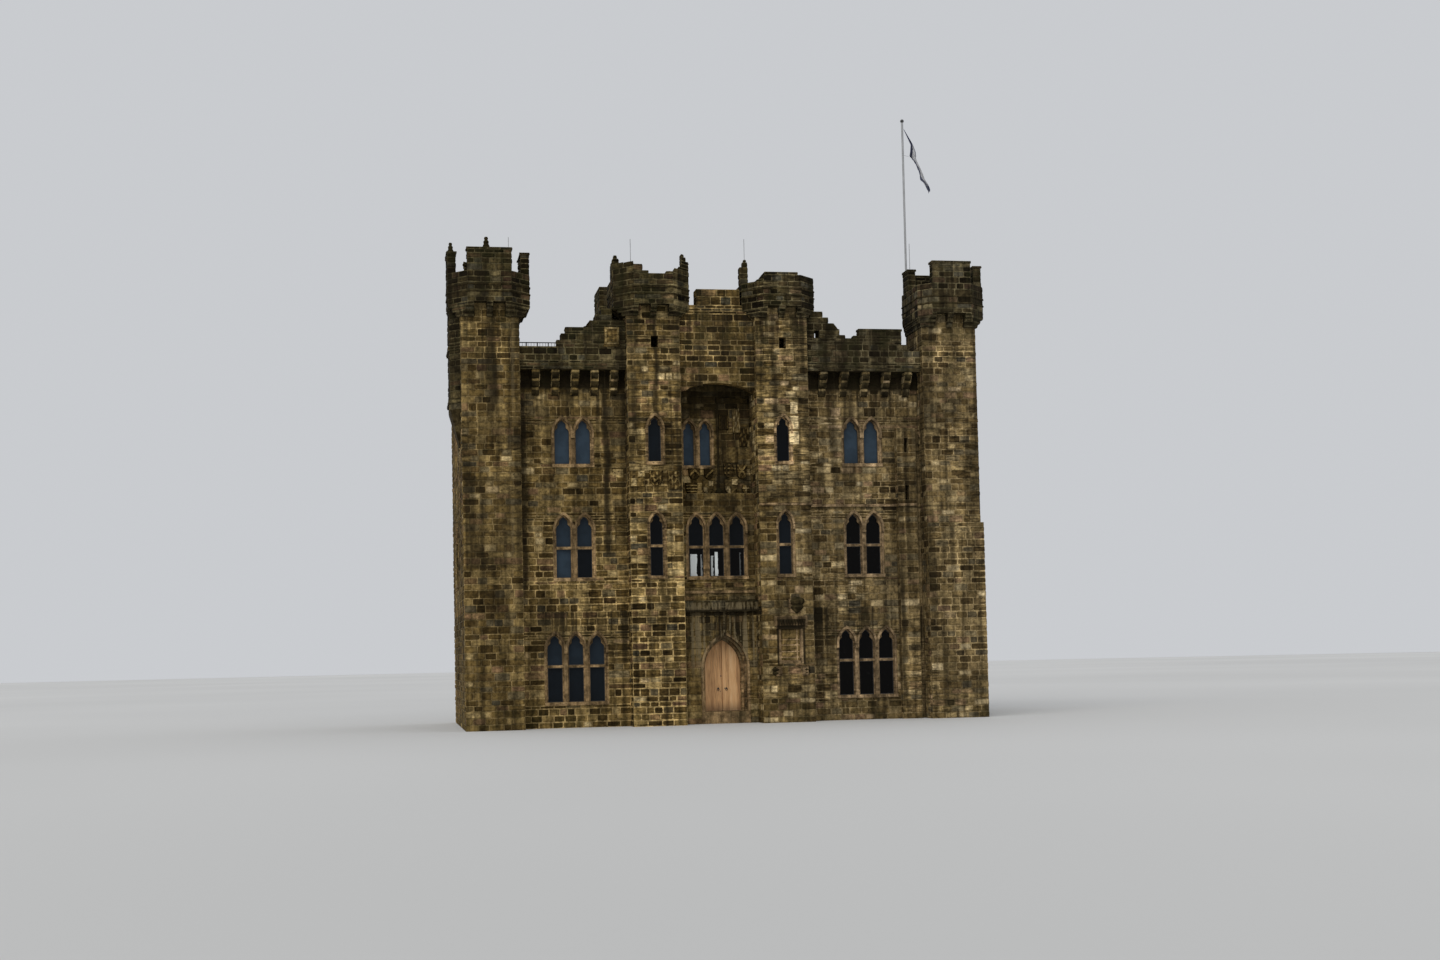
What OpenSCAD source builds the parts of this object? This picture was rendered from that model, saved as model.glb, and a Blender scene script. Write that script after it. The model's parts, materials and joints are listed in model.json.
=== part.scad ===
// Fortified stone keep: a rectangular block of three storeys with square turrets
// on its front corners and a twin-turreted gate tower in the middle of the front.
// Millimetres. Front faces -Y, X to the right, Z up, the ground at Z = 0.

/* [Plan] */
// Width across the outer faces of the corner turrets
keep_w = 21000; // [18600:100:26000]
// Depth from the turret fronts to the outer face of the rear wall
keep_d = 11000; // [10400:100:14000]
// Width of a corner turret
corner_w = 2280; // [1900:20:2800]
// How far the bay walls stand back from the turret fronts
bay_setback = 900; // [650:10:1100]
// Thickness of the front bay walls
front_wall_t = 1380; // [1100:10:1700]
// Thickness of the side walls
side_wall_t = 1200; // [900:10:1500]
// Thickness of the rear wall
rear_wall_t = 1200; // [900:10:1500]
// Thickness of the corner turrets' own walls
turret_wall_t = 600; // [400:10:750]

/* [Gate] */
// Sideways offset of the middle of the gate
gate_mid = -290; // [-400:10:400]
// Clear width of the recess between the gate turrets
recess_w = 3090; // [2700:10:3800]
// Width of a gate turret
gate_turret_w = 2130; // [1850:10:2560]
// Thickness of the gate turrets' walls
gate_wall_t = 550; // [450:10:620]
// Depth of the gate tower above the main roof
gate_tower_d = 8500; // [7600:50:9700]
// Thickness of the gate tower's walls above the main roof
gate_upper_t = 600; // [400:10:700]
// Setback of the wall around the door
entrance_setback = 1000; // [900:10:1150]
// Setback of the wall with the hall window
hall_setback = 1100; // [1000:10:1300]
// Setback of the wall with the chamber window
chamber_setback = 1600; // [1450:10:1700]
// Setback of the arch that bridges the recess
arch_setback = 300; // [150:10:400]
// Thickness of the arch that bridges the recess
arch_t = 650; // [500:10:850]

/* [Heights] */
// Top of the ground floor, which is the door's threshold
ground_top = 480; // [400:10:560]
// Top of the first floor
first_top = 4950; // [4800:10:5300]
// Top of the second floor
second_top = 9500; // [9300:10:10000]
// Top of the main roof
roof_top = 14400; // [13900:10:14800]
// Thickness of each floor and roof slab
floor_t = 300; // [200:10:400]
// Top of the roof of the gate tower
gate_roof_top = 16000; // [15900:10:16010]
// Spring of the arch that bridges the recess
arch_spring = 13330; // [13000:10:13500]
// Crown of the arch that bridges the recess
arch_crown = 13680; // [13600:10:14000]
// Bottom of the ledge above the door
ledge_z = 4500; // [4400:10:4600]
// Foot of the chamber wall, where the hall wall ends
chamber_z = 9300; // [9200:10:9400]

/* [Crowns] */
// Underside of the crowns, which is the top of the turret shafts
shaft_top = 16720; // [16600:10:16900]
// How far a crown stands out beyond its shaft
crown_out = 460; // [400:10:520]
// Thickness of the crown parapets
parapet_t = 320; // [260:10:340]
// Cut-off at each corner of a crown, measured along a side
crown_chamfer = 740; // [500:10:800]
// Thickness of the crown floors
crown_floor_t = 180; // [120:10:240]
// Height of the crenel sills above the shaft top
crenel_h = 1210; // [1000:10:1300]
// Height of the corner turrets' merlons above the crenel sills
corner_merlon_h = 830; // [600:10:900]
// Height of the corbels under a corner crown
crown_corbel_h = 540; // [500:10:700]
// Height of the corbels under a gate crown
gate_corbel_h = 420; // [390:10:500]
// How much lower the right corner turret and its crown are
right_drop = 200; // [0:10:240]
// Share of the overhang that the right corner crown has towards the bay
right_inner_out = 0.3; // [0.2:0.02:0.6]
// Width of the corbel in the middle of each crown face
crown_corbel_w = 230; // [180:10:280]
// Distance from the middle of a crown face to its corner brackets
bracket_from = 620; // [500:10:700]
// Thickness of the copings on the merlons
coping_t = 90; // [60:5:120]
// Overhang of the copings
coping_out = 30; // [20:5:50]
// Crenel sill of the right gate crown
right_crown_sill = 17720; // [17700:10:17900]
// Width of the small loops at the top of the gate turrets
loop_w = 300; // [240:10:340]
// Height of the small loops
loop_h = 460; // [400:10:500]
// Sill of the small loops
loop_z = 15050; // [14900:10:15100]
// Sideways place of the small loops from the middle of their turret
loop_x = 50; // [0:5:80]
// Top of the parapet between the gate turrets, at its low stretches
gate_parapet_low = 16830; // [16800:5:16860]
// Top of the merlon between the gate turrets
gate_parapet_top = 17480; // [17300:10:17600]
// Left end of that merlon from the middle of the gate
gate_merlon_l = -780; // [-900:10:-600]
// Right end of that merlon from the middle of the gate
gate_merlon_r = 990; // [800:10:1000]
// Top of the parapets at the back of the gate tower
upper_parapet_z = 17300; // [17200:10:17500]

/* [Bay parapets] */
// Underside of the bay parapets
bay_parapet_z = 14190; // [14100:10:14300]
// Setback of the front face of the bay parapets
bay_parapet_setback = 300; // [250:10:400]
// Thickness of the bay parapets
bay_parapet_t = 350; // [300:5:400]
// Height of the low stretches of the bay parapets
bay_parapet_h = 910; // [800:10:1000]
// Height of a step of the left bay parapet
parapet_rise = 260; // [220:10:280]
// Width of a step of the left bay parapet
parapet_run = 180; // [150:10:200]
// Height of the pale band at the foot of the bay parapets
band_h = 260; // [200:10:300]
// How far the pale band stands out
band_out = 50; // [30:5:70]
// Number of corbels under each bay parapet
bay_corbels = 5; // [4:1:6]
// Width of a bay corbel
bay_corbel_w = 280; // [220:10:320]
// Height of a bay corbel
bay_corbel_h = 980; // [800:10:1100]
// Height of a step in the stepped parapet and of a roof stair tread
step_rise = 240; // [200:5:260]
// Width of a step in the stepped parapet and of a roof stair tread
step_run = 235; // [200:5:260]
// Width of the roof stairs
stair_w = 750; // [600:10:900]
// Height of the plain parapets on the side and rear walls
side_parapet_h = 800; // [650:10:1000]
// Thickness of the plain parapets on the side and rear walls
side_parapet_t = 450; // [350:10:550]
// Height of the merlons on the plain parapets
side_merlon_h = 550; // [400:10:700]
// Length of the merlons on the plain parapets
merlon_run = 1500; // [1200:50:1700]
// Top of the opening under the roof stairs
stair_gap_top = 15970; // [15700:10:16000]
// Near side of that opening from the gate turret
stair_gap_l = 525; // [470:5:560]
// Far side of that opening from the gate turret
stair_gap_r = 745; // [700:5:800]
// Far end of the stairs' top landing from the gate turret
landing_end = 890; // [850:10:950]
// How far the rear and side copings stand out
rear_out = 90; // [60:10:140]

/* [Right side] */
// Level below which the right corner turret steps outwards
plinth_z = 7950; // [6000:10:8600]
// How far the right corner turret steps outwards
plinth_out = 100; // [60:5:140]
// Width of the pilaster in the right bay
pilaster_w = 800; // [600:10:900]
// Distance of the pilaster from the corner turret
pilaster_gap = 220; // [100:10:300]
// How far the pilaster stands out
pilaster_out = 300; // [200:10:400]
// Top of the pilaster
pilaster_top = 11900; // [11600:10:12400]
// Width of the slots in the pilaster
slot_w = 180; // [120:10:240]
// Height of the slots in the pilaster
slot_h = 600; // [400:10:700]
// Bottom of the lower slot
slot_low = 8950; // [8900:10:9200]
// Bottom of the upper slot
slot_high = 10900; // [10400:10:11000]
// Bottom of the string course over the first floor
string_z = 8700; // [8680:5:8750]
// Height of the string courses
string_h = 100; // [70:5:130]
// How far the string courses stand out
string_out = 60; // [40:5:80]
// Bottom of the string course under the hall window
hall_string_z = 5250; // [5200:10:5350]

/* [Stair turret] */
// How far the stair turret stands out of the left side
stair_out = 410; // [300:10:450]
// Front end of the stair turret
stair_y0 = 250; // [150:10:350]
// Rear end of the stair turret
stair_y1 = 2900; // [2700:10:3300]
// Bottom of the stair turret's upright part
stair_z0 = 12600; // [12400:10:12800]
// Lowest point of the corbelling under the stair turret
stair_foot = 11250; // [10800:10:11600]

/* [Niche] */
// Sideways place of the niche from the middle of the right gate turret
niche_x = 115; // [-100:5:200]
// Width of the niche
niche_w = 1000; // [800:10:1100]
// Bottom of the niche
niche_z0 = 2360; // [2200:10:2500]
// Height of the niche
niche_h = 1500; // [1200:10:1600]
// Depth of the niche
niche_d = 180; // [120:5:240]
// Height of the carved lintel over the niche
lintel_h = 390; // [300:10:420]

/* [Windows] */
// Width of one light of the bay windows
light_w = 590; // [520:5:620]
// Width of the stone mullions
mullion_w = 250; // [200:5:270]
// Width of the dressed stone around a light
jamb_w = 135; // [130:5:150]
// Thickness of the window stonework
frame_t = 170; // [150:5:260]
// How far the window stonework stands back from the wall face
frame_recess = 50; // [30:5:90]
// Depth of the wide moulded step in front of a light
step_d = 80; // [50:5:100]
// Height of the stone transoms
transom_t = 100; // [80:5:120]
// How far the cusps reach into a light
cusp = 75; // [40:5:90]
// Width of the lights in the gate turrets
slit_w = 500; // [420:5:540]
// Width of the lights of the chamber window
chamber_light_w = 430; // [380:5:460]
// Sill of the ground floor windows
ground_sill = 1020; // [900:10:1150]
// Height of the ground floor windows
ground_h = 2640; // [2400:10:2700]
// Sill of the first floor windows
first_sill = 5940; // [5700:10:6050]
// Height of the first floor windows
first_h = 2450; // [2200:10:2500]
// Sill of the second floor windows
second_sill = 10480; // [10300:10:10600]
// Height of the second floor windows
second_h = 1770; // [1500:10:1850]
// Height of the transoms above the ground floor sills
ground_transom = 1410; // [1200:10:1500]
// Height of the transoms above the first floor sills
first_transom = 1190; // [1000:10:1300]
// Thickness of the glass with its leading
glass_t = 30; // [20:2:40]
// How far the hood moulds stand out from the wall
hood_out = 60; // [40:5:90]
// Width of the hood moulds
hood_w = 90; // [60:5:110]
// How far the window sills stand out from the wall
sill_out = 60; // [40:5:90]
// Height of the window sills
sill_h = 130; // [100:5:150]
// Sideways place of the chamber window from the middle of the recess
chamber_window_x = -640; // [-700:10:-500]
// Distance from the pilaster to the middle of the right bay's windows
window_gap = 1397.5; // [1350:0.5:1450]
// Sideways place of the rear hall window
rear_window_x = 1450; // [1000:10:2200]

/* [Door] */
// Sideways place of the middle of the door
door_x = -80; // [-150:5:60]
// Clear width of the doorway
door_w = 1490; // [1240:10:1540]
// Height of the doorway's spring above the threshold
door_spring = 1760; // [1500:10:1850]
// Height of the doorway's apex above the threshold
door_apex = 2880; // [2650:10:2900]
// Width of the moulded stone around the doorway
surround_w = 250; // [200:5:260]
// Depth of each of the three orders of the moulded stone
order_d = 265; // [240:5:280]
// How far the moulded stone stands out from the wall
surround_out = 60; // [40:5:80]
// Setback of the ledge above the door
ledge_y = 750; // [700:10:800]
// Height of the ledge above the door
ledge_h = 450; // [350:10:480]
// Thickness of a door leaf
leaf_t = 80; // [60:2:90]
// How far a leaf laps behind the moulded stone
leaf_lap = 50; // [40:2:60]
// Clearance between the leaves and the stone
leaf_gap = 8; // [6:1:12]
// Gap between the leaves at their back faces
meeting_gap = 8; // [7:1:10]
// Diameter of the hinge pins
pin_d = 30; // [24:1:36]
// Running clearance of the hinge pins
pin_gap = 0.3; // [0.2:0.05:0.5]
// Wall of the hinge eyes
eye_wall = 12; // [10:1:14]
// Height of a hinge eye
eye_h = 70; // [50:5:80]
// Length of the hinge straps
strap_l = 560; // [400:10:600]
// Thickness of the hinge straps
strap_t = 8; // [6:1:10]
// Height of the lower hinge above the threshold
hinge_low = 300; // [200:10:400]
// Height of the upper hinge above the threshold
hinge_high = 1600; // [1400:10:1650]
// Height of the door handles above the threshold
handle_z = 920; // [850:10:1050]
// Distance of the door handles from the meeting line
handle_x = 170; // [120:5:200]

/* [Roof fittings] */
// Diameter of the flagpole at its foot
pole_d = 130; // [90:5:160]
// Height of the flagpole's tip
pole_top = 25560; // [22000:20:27000]
// Distance of the flagpole from the inner side of the corner turret
pole_in = 330; // [200:10:600]
// Distance of the flagpole behind the crown
pole_back = 360; // [300:10:700]
// Height of the flag along the pole
flag_hoist = 1200; // [900:10:1400]
// Height of the rail behind the left parapet
rail_h = 1050; // [900:10:1150]
// Diameter of the rails and posts
rail_d = 40; // [30:2:60]
// Diameter of the lightning rods
rod_d = 25; // [20:1:40]
// Length of the lightning rods above the crenels
rod_l = 1500; // [1200:10:1800]

/* [Hidden] */

// Lines of the plan
half_w = keep_w / 2;
corner_in = half_w - corner_w;
inner_y = bay_setback + front_wall_t;
side_in = half_w - side_wall_t;
rear_in = keep_d - rear_wall_t;
recess_l = gate_mid - recess_w / 2;
recess_r = gate_mid + recess_w / 2;
gate_l = recess_l - gate_turret_w;
gate_r = recess_r + gate_turret_w;
left_turret_mid = recess_l - gate_turret_w / 2;
right_turret_mid = recess_r + gate_turret_w / 2;
left_bay_mid = (gate_l - corner_in) / 2;
pilaster_r = corner_in - pilaster_gap;
pilaster_l = pilaster_r - pilaster_w;
right_bay_mid = pilaster_l - window_gap;
corner_mid = half_w - corner_w / 2;
plan_shift = (crown_out + coping_out - keep_d - rear_out) / 2;

// Levels of the crowns
crenel_z = shaft_top + crenel_h;
corbel_z = shaft_top - crown_corbel_h;
parapet_low = bay_parapet_z + bay_parapet_h;

// Colours of the materials
stone = [0.46, 0.38, 0.27];
stone_dark = [0.30, 0.25, 0.19];
stone_dressed = [0.50, 0.40, 0.32];
slab = [0.45, 0.43, 0.40];
oak = [0.72, 0.53, 0.42];
iron = [0.10, 0.10, 0.10];
glass = [0.10, 0.13, 0.17];
metal = [0.70, 0.71, 0.72];
cloth = [0.10, 0.13, 0.28];

// Moves the plan so that the middle of its outline lies on the origin.
module placed() {
    translate([0, plan_shift, 0]) children();
}

// A box between two corners.
module box(x0, x1, y0, y1, z0, z1) {
    translate([x0, y0, z0]) cube([x1 - x0, y1 - y0, z1 - z0]);
}

// Extrudes an outline drawn in X and Z from y0 to y1.
module upright(y0, y1) {
    translate([0, y1, 0]) rotate([90, 0, 0]) linear_extrude(y1 - y0) children();
}

// Points of one side of a pointed arch, from the spring up to the apex. A cusp of
// depth c reaches inwards part of the way up.
function arch_side(w, spring, apex, c, n) =
    let (a = w / 2, h = apex - spring, r = (a * a + h * h) / (2 * a), top = atan2(h, r - a))
    [for (i = [0 : n]) let (t = i / n, q = r - c * max(0, 1 - abs(t - 0.42) / 0.24))
        [a - r + q * cos(t * top), spring + q * sin(t * top)]];

// Outline of a pointed light from its sill to its apex.
function light_outline(w, sill, spring, apex, c = 0, n = 14) =
    let (side = arch_side(w, spring, apex, c, n))
    concat([[-w / 2, sill], [w / 2, sill]], side,
        [for (i = [n - 1 : -1 : 0]) [-side[i][0], side[i][1]]]);

module light_shape(w, sill, spring, apex, c = 0) {
    polygon(light_outline(w, sill, spring, apex, c));
}

// Windows as wall, floor, number of lights, light width, place along the wall,
// sill, height and height of the transom above the sill, 0 for none.
WINDOWS = [
    ["bay_left", 0, 3, light_w, left_bay_mid, ground_sill, ground_h, ground_transom],
    ["bay_left", 1, 2, light_w, left_bay_mid, first_sill, first_h, first_transom],
    ["bay_left", 2, 2, light_w, left_bay_mid, second_sill, second_h, 0],
    ["bay_right", 0, 3, light_w, right_bay_mid, ground_sill, ground_h, ground_transom],
    ["bay_right", 1, 2, light_w, right_bay_mid, first_sill, first_h, first_transom],
    ["bay_right", 2, 2, light_w, right_bay_mid, second_sill, second_h, 0],
    ["gate_left", 1, 1, slit_w, left_turret_mid, first_sill, first_h, first_transom],
    ["gate_left", 2, 1, slit_w, left_turret_mid, second_sill, second_h, 0],
    ["gate_right", 1, 1, slit_w, right_turret_mid, first_sill, first_h, first_transom],
    ["gate_right", 2, 1, slit_w, right_turret_mid, second_sill, second_h, 0],
    ["hall", 1, 3, light_w, gate_mid, first_sill, first_h, first_transom],
    ["chamber", 2, 2, chamber_light_w, gate_mid + chamber_window_x, second_sill, second_h, 0],
    ["rear", 0, 3, light_w, left_bay_mid, ground_sill, ground_h, ground_transom],
    ["rear", 0, 3, light_w, right_bay_mid, ground_sill, ground_h, ground_transom],
    ["rear", 1, 2, light_w, left_bay_mid, first_sill, first_h, first_transom],
    ["rear", 1, 3, light_w, rear_window_x, first_sill, first_h, first_transom],
    ["rear", 1, 2, light_w, right_bay_mid, first_sill, first_h, first_transom],
    ["rear", 2, 2, light_w, left_bay_mid, second_sill, second_h, 0],
    ["rear", 2, 2, light_w, right_bay_mid, second_sill, second_h, 0],
    ["side_left", 1, 2, light_w, (inner_y + rear_in) / 2, first_sill, first_h, first_transom],
    ["side_left", 2, 2, light_w, (inner_y + rear_in) / 2, second_sill, second_h, 0],
    ["side_right", 1, 2, light_w, (inner_y + rear_in) / 2, first_sill, first_h, first_transom],
    ["side_right", 2, 2, light_w, (inner_y + rear_in) / 2, second_sill, second_h, 0]
];

// Height of a light's pointed head as a multiple of its width, and the growth of
// its apex for each millimetre that its sides move outwards.
head_rise = 0.92;
apex_grow = 1.3;

function wall_depth(wall) =
    wall == "bay_left" || wall == "bay_right" ? front_wall_t :
    wall == "gate_left" || wall == "gate_right" ? gate_wall_t :
    wall == "hall" ? inner_y - hall_setback :
    wall == "chamber" ? inner_y - chamber_setback :
    wall == "rear" ? rear_wall_t : side_wall_t;

// Puts a window drawn on the plane y = 0, facing -Y, onto its wall.
module on_wall(wall, along) {
    if (wall == "rear")
        translate([along, keep_d, 0]) rotate([0, 0, 180]) children();
    else if (wall == "side_left")
        translate([-half_w, along, 0]) rotate([0, 0, -90]) children();
    else if (wall == "side_right")
        translate([half_w, along, 0]) rotate([0, 0, 90]) children();
    else if (wall == "hall")
        translate([along, hall_setback, 0]) children();
    else if (wall == "chamber")
        translate([along, chamber_setback, 0]) children();
    else if (wall == "gate_left" || wall == "gate_right")
        translate([along, 0, 0]) children();
    else
        translate([along, bay_setback, 0]) children();
}

// Middles of a window's lights.
function light_places(count, w) =
    [for (i = [0 : count - 1]) (i - (count - 1) / 2) * (w + mullion_w)];

// Outline of the hole that a window's stonework fills.
module window_outline(count, w, sill, h) {
    spring = sill + h - w * head_rise;
    for (x = light_places(count, w))
        translate([x, 0])
            light_shape(w + 2 * jamb_w, sill - sill_h, spring, sill + h + jamb_w * apex_grow);
}

// The holes of all windows in one wall, cut through its whole thickness.
module window_holes(wall) {
    for (v = WINDOWS)
        if (v[0] == wall)
            on_wall(wall, v[4])
                upright(-10, wall_depth(wall) + 10) window_outline(v[2], v[3], v[5], v[6]);
}

// Stonework of one window: jambs, mullions, transom, sill and hood moulds.
module window_stone(count, w, sill, h, transom) {
    spring = sill + h - w * head_rise;
    apex = sill + h;
    run = (count - 1) * (w + mullion_w) + w;
    difference() {
        union() {
            upright(frame_recess, frame_recess + frame_t) window_outline(count, w, sill, h);
            for (x = light_places(count, w))
                translate([x, 0, 0]) upright(-hood_out, frame_recess)
                    light_shape(w + 2 * jamb_w, spring - 2 * hood_w, spring,
                        apex + jamb_w * apex_grow);
            box(-run / 2 - jamb_w, run / 2 + jamb_w, -sill_out, frame_recess, sill - sill_h, sill);
        }
        for (x = light_places(count, w))
            translate([x, 0, 0]) {
                upright(frame_recess + step_d, frame_recess + frame_t + 1)
                    light_shape(w, sill, spring, apex, cusp);
                upright(-hood_out - 1, frame_recess + step_d + 1)
                    light_shape(w + 2 * (jamb_w - hood_w), sill, spring,
                        apex + apex_grow * (jamb_w - hood_w));
            }
    }
    if (transom > 0)
        box(-run / 2 - 10, run / 2 + 10, frame_recess + step_d / 2, frame_recess + frame_t,
            sill + transom - transom_t / 2, sill + transom + transom_t / 2);
}

module window_stonework(level) {
    for (v = WINDOWS)
        if (v[1] == level)
            on_wall(v[0], v[4]) window_stone(v[2], v[3], v[5], v[6], v[7]);
}

// One sheet of glass behind each window's stonework.
module window_glass(level) {
    for (v = WINDOWS)
        if (v[1] == level)
            on_wall(v[0], v[4])
                upright(frame_recess + frame_t, frame_recess + frame_t + glass_t)
                    window_outline(v[2], v[3], v[5], v[6]);
}

// Corners of a chamfered rectangle, with the chamfers given from the front left
// corner anticlockwise.
function chamfered_points(x0, x1, y0, y1, c) = concat(
    c[0] > 0 ? [[x0, y0 + c[0]], [x0 + c[0], y0]] : [[x0, y0]],
    c[1] > 0 ? [[x1 - c[1], y0], [x1, y0 + c[1]]] : [[x1, y0]],
    c[2] > 0 ? [[x1, y1 - c[2]], [x1 - c[2], y1]] : [[x1, y1]],
    c[3] > 0 ? [[x0 + c[3], y1], [x0, y1 - c[3]]] : [[x0, y1]]);

// Cut of a crown's corner between sides that stand out by the shares a and b of p.
function corner_cut(a, b, p, inset) =
    a * b == 0 ? 0 : (a + b) / 2 * crown_chamfer * p / crown_out - inset * (2 - sqrt(2));

// Plan of a crown that stands out by p times the share given in outs on its left,
// right, front and back, drawn inwards by inset all round.
module crown_plan(hx, hy, outs, p, inset) {
    cuts = [for (c = [[0, 2], [1, 2], [1, 3], [0, 3]])
        corner_cut(outs[c[0]], outs[c[1]], p, inset)];
    polygon(chamfered_points(-hx - p * outs[0] + inset, hx + p * outs[1] - inset,
        -hy - p * outs[2] + inset, hy + p * outs[3] - inset, cuts));
}

module crown_ring(hx, hy, outs, grow = 0) {
    difference() {
        crown_plan(hx, hy, outs, crown_out, -grow);
        crown_plan(hx, hy, outs, crown_out, parapet_t + grow);
    }
}

// Machicolation slots beside the middle corbel of each open side.
module crown_slots(hx, hy, slots, reach, z0, z1) {
    for (s = [-1, 1]) {
        a = s > 0 ? crown_corbel_w / 2 : -bracket_from;
        b = s > 0 ? bracket_from : -crown_corbel_w / 2;
        if (slots[0] == 1) box(-hx - reach, -hx, a, b, z0, z1);
        if (slots[1] == 1) box(hx, hx + reach, a, b, z0, z1);
        if (slots[2] == 1) box(a, b, -hy - reach, -hy, z0, z1);
        if (slots[3] == 1) box(a, b, hy, hy + reach, z0, z1);
    }
}

// The overhang of a crown: a floor on corbels in three tiers, whose round noses are
// worked in three steps.
module crown_mass(hx, hy, outs, foot_h) {
    translate([0, 0, shaft_top])
        linear_extrude(crown_floor_t) crown_plan(hx, hy, outs, crown_out, 0);
    for (i = [0 : 2], a = [30, 60, 90]) {
        z = shaft_top - foot_h + foot_h / 3 * (i + (1 - cos(a - 30)) * 2 / 3);
        translate([0, 0, z]) linear_extrude(shaft_top - z)
            crown_plan(hx, hy, outs, (i + sin(a)) * crown_out / 3, 0);
    }
}

// A crown: its overhang with the shaft and the slots cut out, a parapet ring up to the
// crenel sill, and merlons given as [x0, x1, y0, y1, height] from its middle.
module crown(x, y, hx, hy, outs, slots, foot_h, sill, merlons, coped) {
    foot_z = shaft_top - foot_h;
    floor_z = shaft_top + crown_floor_t;
    past = [for (o = outs) o > 0 ? 0 : 1];
    translate([x, y, 0]) {
        difference() {
            crown_mass(hx, hy, outs, foot_h);
            box(-hx - past[0], hx + past[1], -hy - past[2], hy + past[3], foot_z - 1,
                shaft_top);
            crown_slots(hx, hy, slots, crown_out + 1, foot_z - 1, shaft_top);
            crown_slots(hx, hy, slots, crown_out - parapet_t, shaft_top - 1, floor_z + 1);
        }
        translate([0, 0, floor_z]) linear_extrude(sill - floor_z) crown_ring(hx, hy, outs);
        for (m = merlons) {
            intersection() {
                translate([0, 0, sill]) linear_extrude(m[4]) crown_ring(hx, hy, outs);
                box(m[0], m[1], m[2], m[3], sill - 1, sill + m[4] + 1);
            }
            if (coped)
                intersection() {
                    translate([0, 0, sill + m[4]])
                        linear_extrude(coping_t) crown_ring(hx, hy, outs, coping_out);
                    box(m[0] - coping_out, m[1] + coping_out, m[2] - coping_out,
                        m[3] + coping_out, sill, sill + m[4] + coping_t + 1);
                }
        }
    }
}

// Merlons over the four straight faces of a corner crown.
far = 4000;
corner_face = corner_w / 2 + crown_out - crown_chamfer;
corner_side = inner_y / 2 + crown_out - crown_chamfer - 150;
corner_merlons = [
    [-corner_face, corner_face, -far, 0, corner_merlon_h],
    [-corner_face, corner_face, 0, far, corner_merlon_h],
    [-far, 0, -corner_side, corner_side, corner_merlon_h],
    [0, far, -corner_side, corner_side, corner_merlon_h]
];

// A square turret shaft with a well inside it, standing on solid masonry.
module corner_shaft(x0, x1, top) {
    difference() {
        box(x0, x1, 0, inner_y, 0, top);
        box(x0 + turret_wall_t, x1 - turret_wall_t, turret_wall_t, inner_y - turret_wall_t,
            ground_top, top + 1);
    }
}

module corner_turret_left() {
    color(stone) placed() corner_shaft(-half_w, -corner_in, shaft_top);
}

module corner_turret_right() {
    color(stone) placed() {
        corner_shaft(corner_in, half_w, shaft_top - right_drop);
        difference() {
            box(corner_in, half_w + plinth_out, -plinth_out, inner_y, 0, plinth_z);
            box(corner_in - 1, half_w, 0, inner_y + 1, -1, plinth_z + 1);
        }
    }
}

// Plan of the corbelled stair turret on the left side, grown by g.
module stair_plan(g = 0) {
    polygon([[-half_w, stair_y0 - g], [-half_w - stair_out - g, stair_y0 + stair_out - g / 2],
        [-half_w - stair_out - g, stair_y1 - stair_out + g / 2], [-half_w, stair_y1 + g]]);
}

module corner_crown_left() {
    color(stone_dark) placed() {
        crown(-corner_mid, inner_y / 2, corner_w / 2, inner_y / 2, [1, 1, 1, 1], [0, 1, 1, 1],
            crown_corbel_h, crenel_z, corner_merlons, true);
        translate([0, 0, corbel_z]) linear_extrude(shaft_top + 1 - corbel_z) intersection() {
            stair_plan();
            translate([-half_w - stair_out, 0]) square([stair_out, inner_y]);
        }
    }
}

module corner_crown_right() {
    color(stone_dark) placed() translate([0, 0, -right_drop])
        crown(corner_mid, inner_y / 2, corner_w / 2, inner_y / 2, [right_inner_out, 1, 1, 1],
            [0, 1, 1, 1], crown_corbel_h, crenel_z, [
                [-750, corner_face, -far, 0, corner_merlon_h],
                [-corner_face, corner_face, 0, far, corner_merlon_h],
                [-far, 0, 150, 900, corner_merlon_h],
                [0, far, -corner_side, corner_side, corner_merlon_h]
            ], true);
}

// A gate turret: open at the back to the rooms, closed above the main roof.
module gate_shaft(x0, x1, wall) {
    a = x0 + gate_wall_t;
    b = x1 - gate_wall_t;
    mid = (x0 + x1) / 2 + loop_x;
    difference() {
        box(x0, x1, 0, inner_y, 0, shaft_top);
        box(a, b, gate_wall_t, inner_y + 1, ground_top - floor_t, roof_top);
        box(a, b, gate_wall_t, inner_y - gate_wall_t, roof_top - 1, shaft_top + 1);
        box(mid - loop_w / 2, mid + loop_w / 2, -1, gate_wall_t + 1, loop_z, loop_z + loop_h);
        window_holes(wall);
    }
}

module gate_turret_left() {
    color(stone) placed() gate_shaft(gate_l, recess_l, "gate_left");
}

// Place of the panel niche on the front of the right gate turret.
niche_mid = right_turret_mid + niche_x;
niche_z1 = niche_z0 + niche_h;

module gate_turret_right() {
    color(stone) placed() difference() {
        gate_shaft(recess_r, gate_r, "gate_right");
        box(niche_mid - niche_w / 2, niche_mid + niche_w / 2, -1, niche_d, niche_z0, niche_z1);
    }
}

// The gate crowns have ruined merlons, which end in a spike at either corner.
left_gate_outs = [1, 1, 1, 0];
right_gate_outs = [1, 0.8, 1, 0];
spike_x = -1297;
spike_y = -400;
spike_h = 1060;

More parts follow.
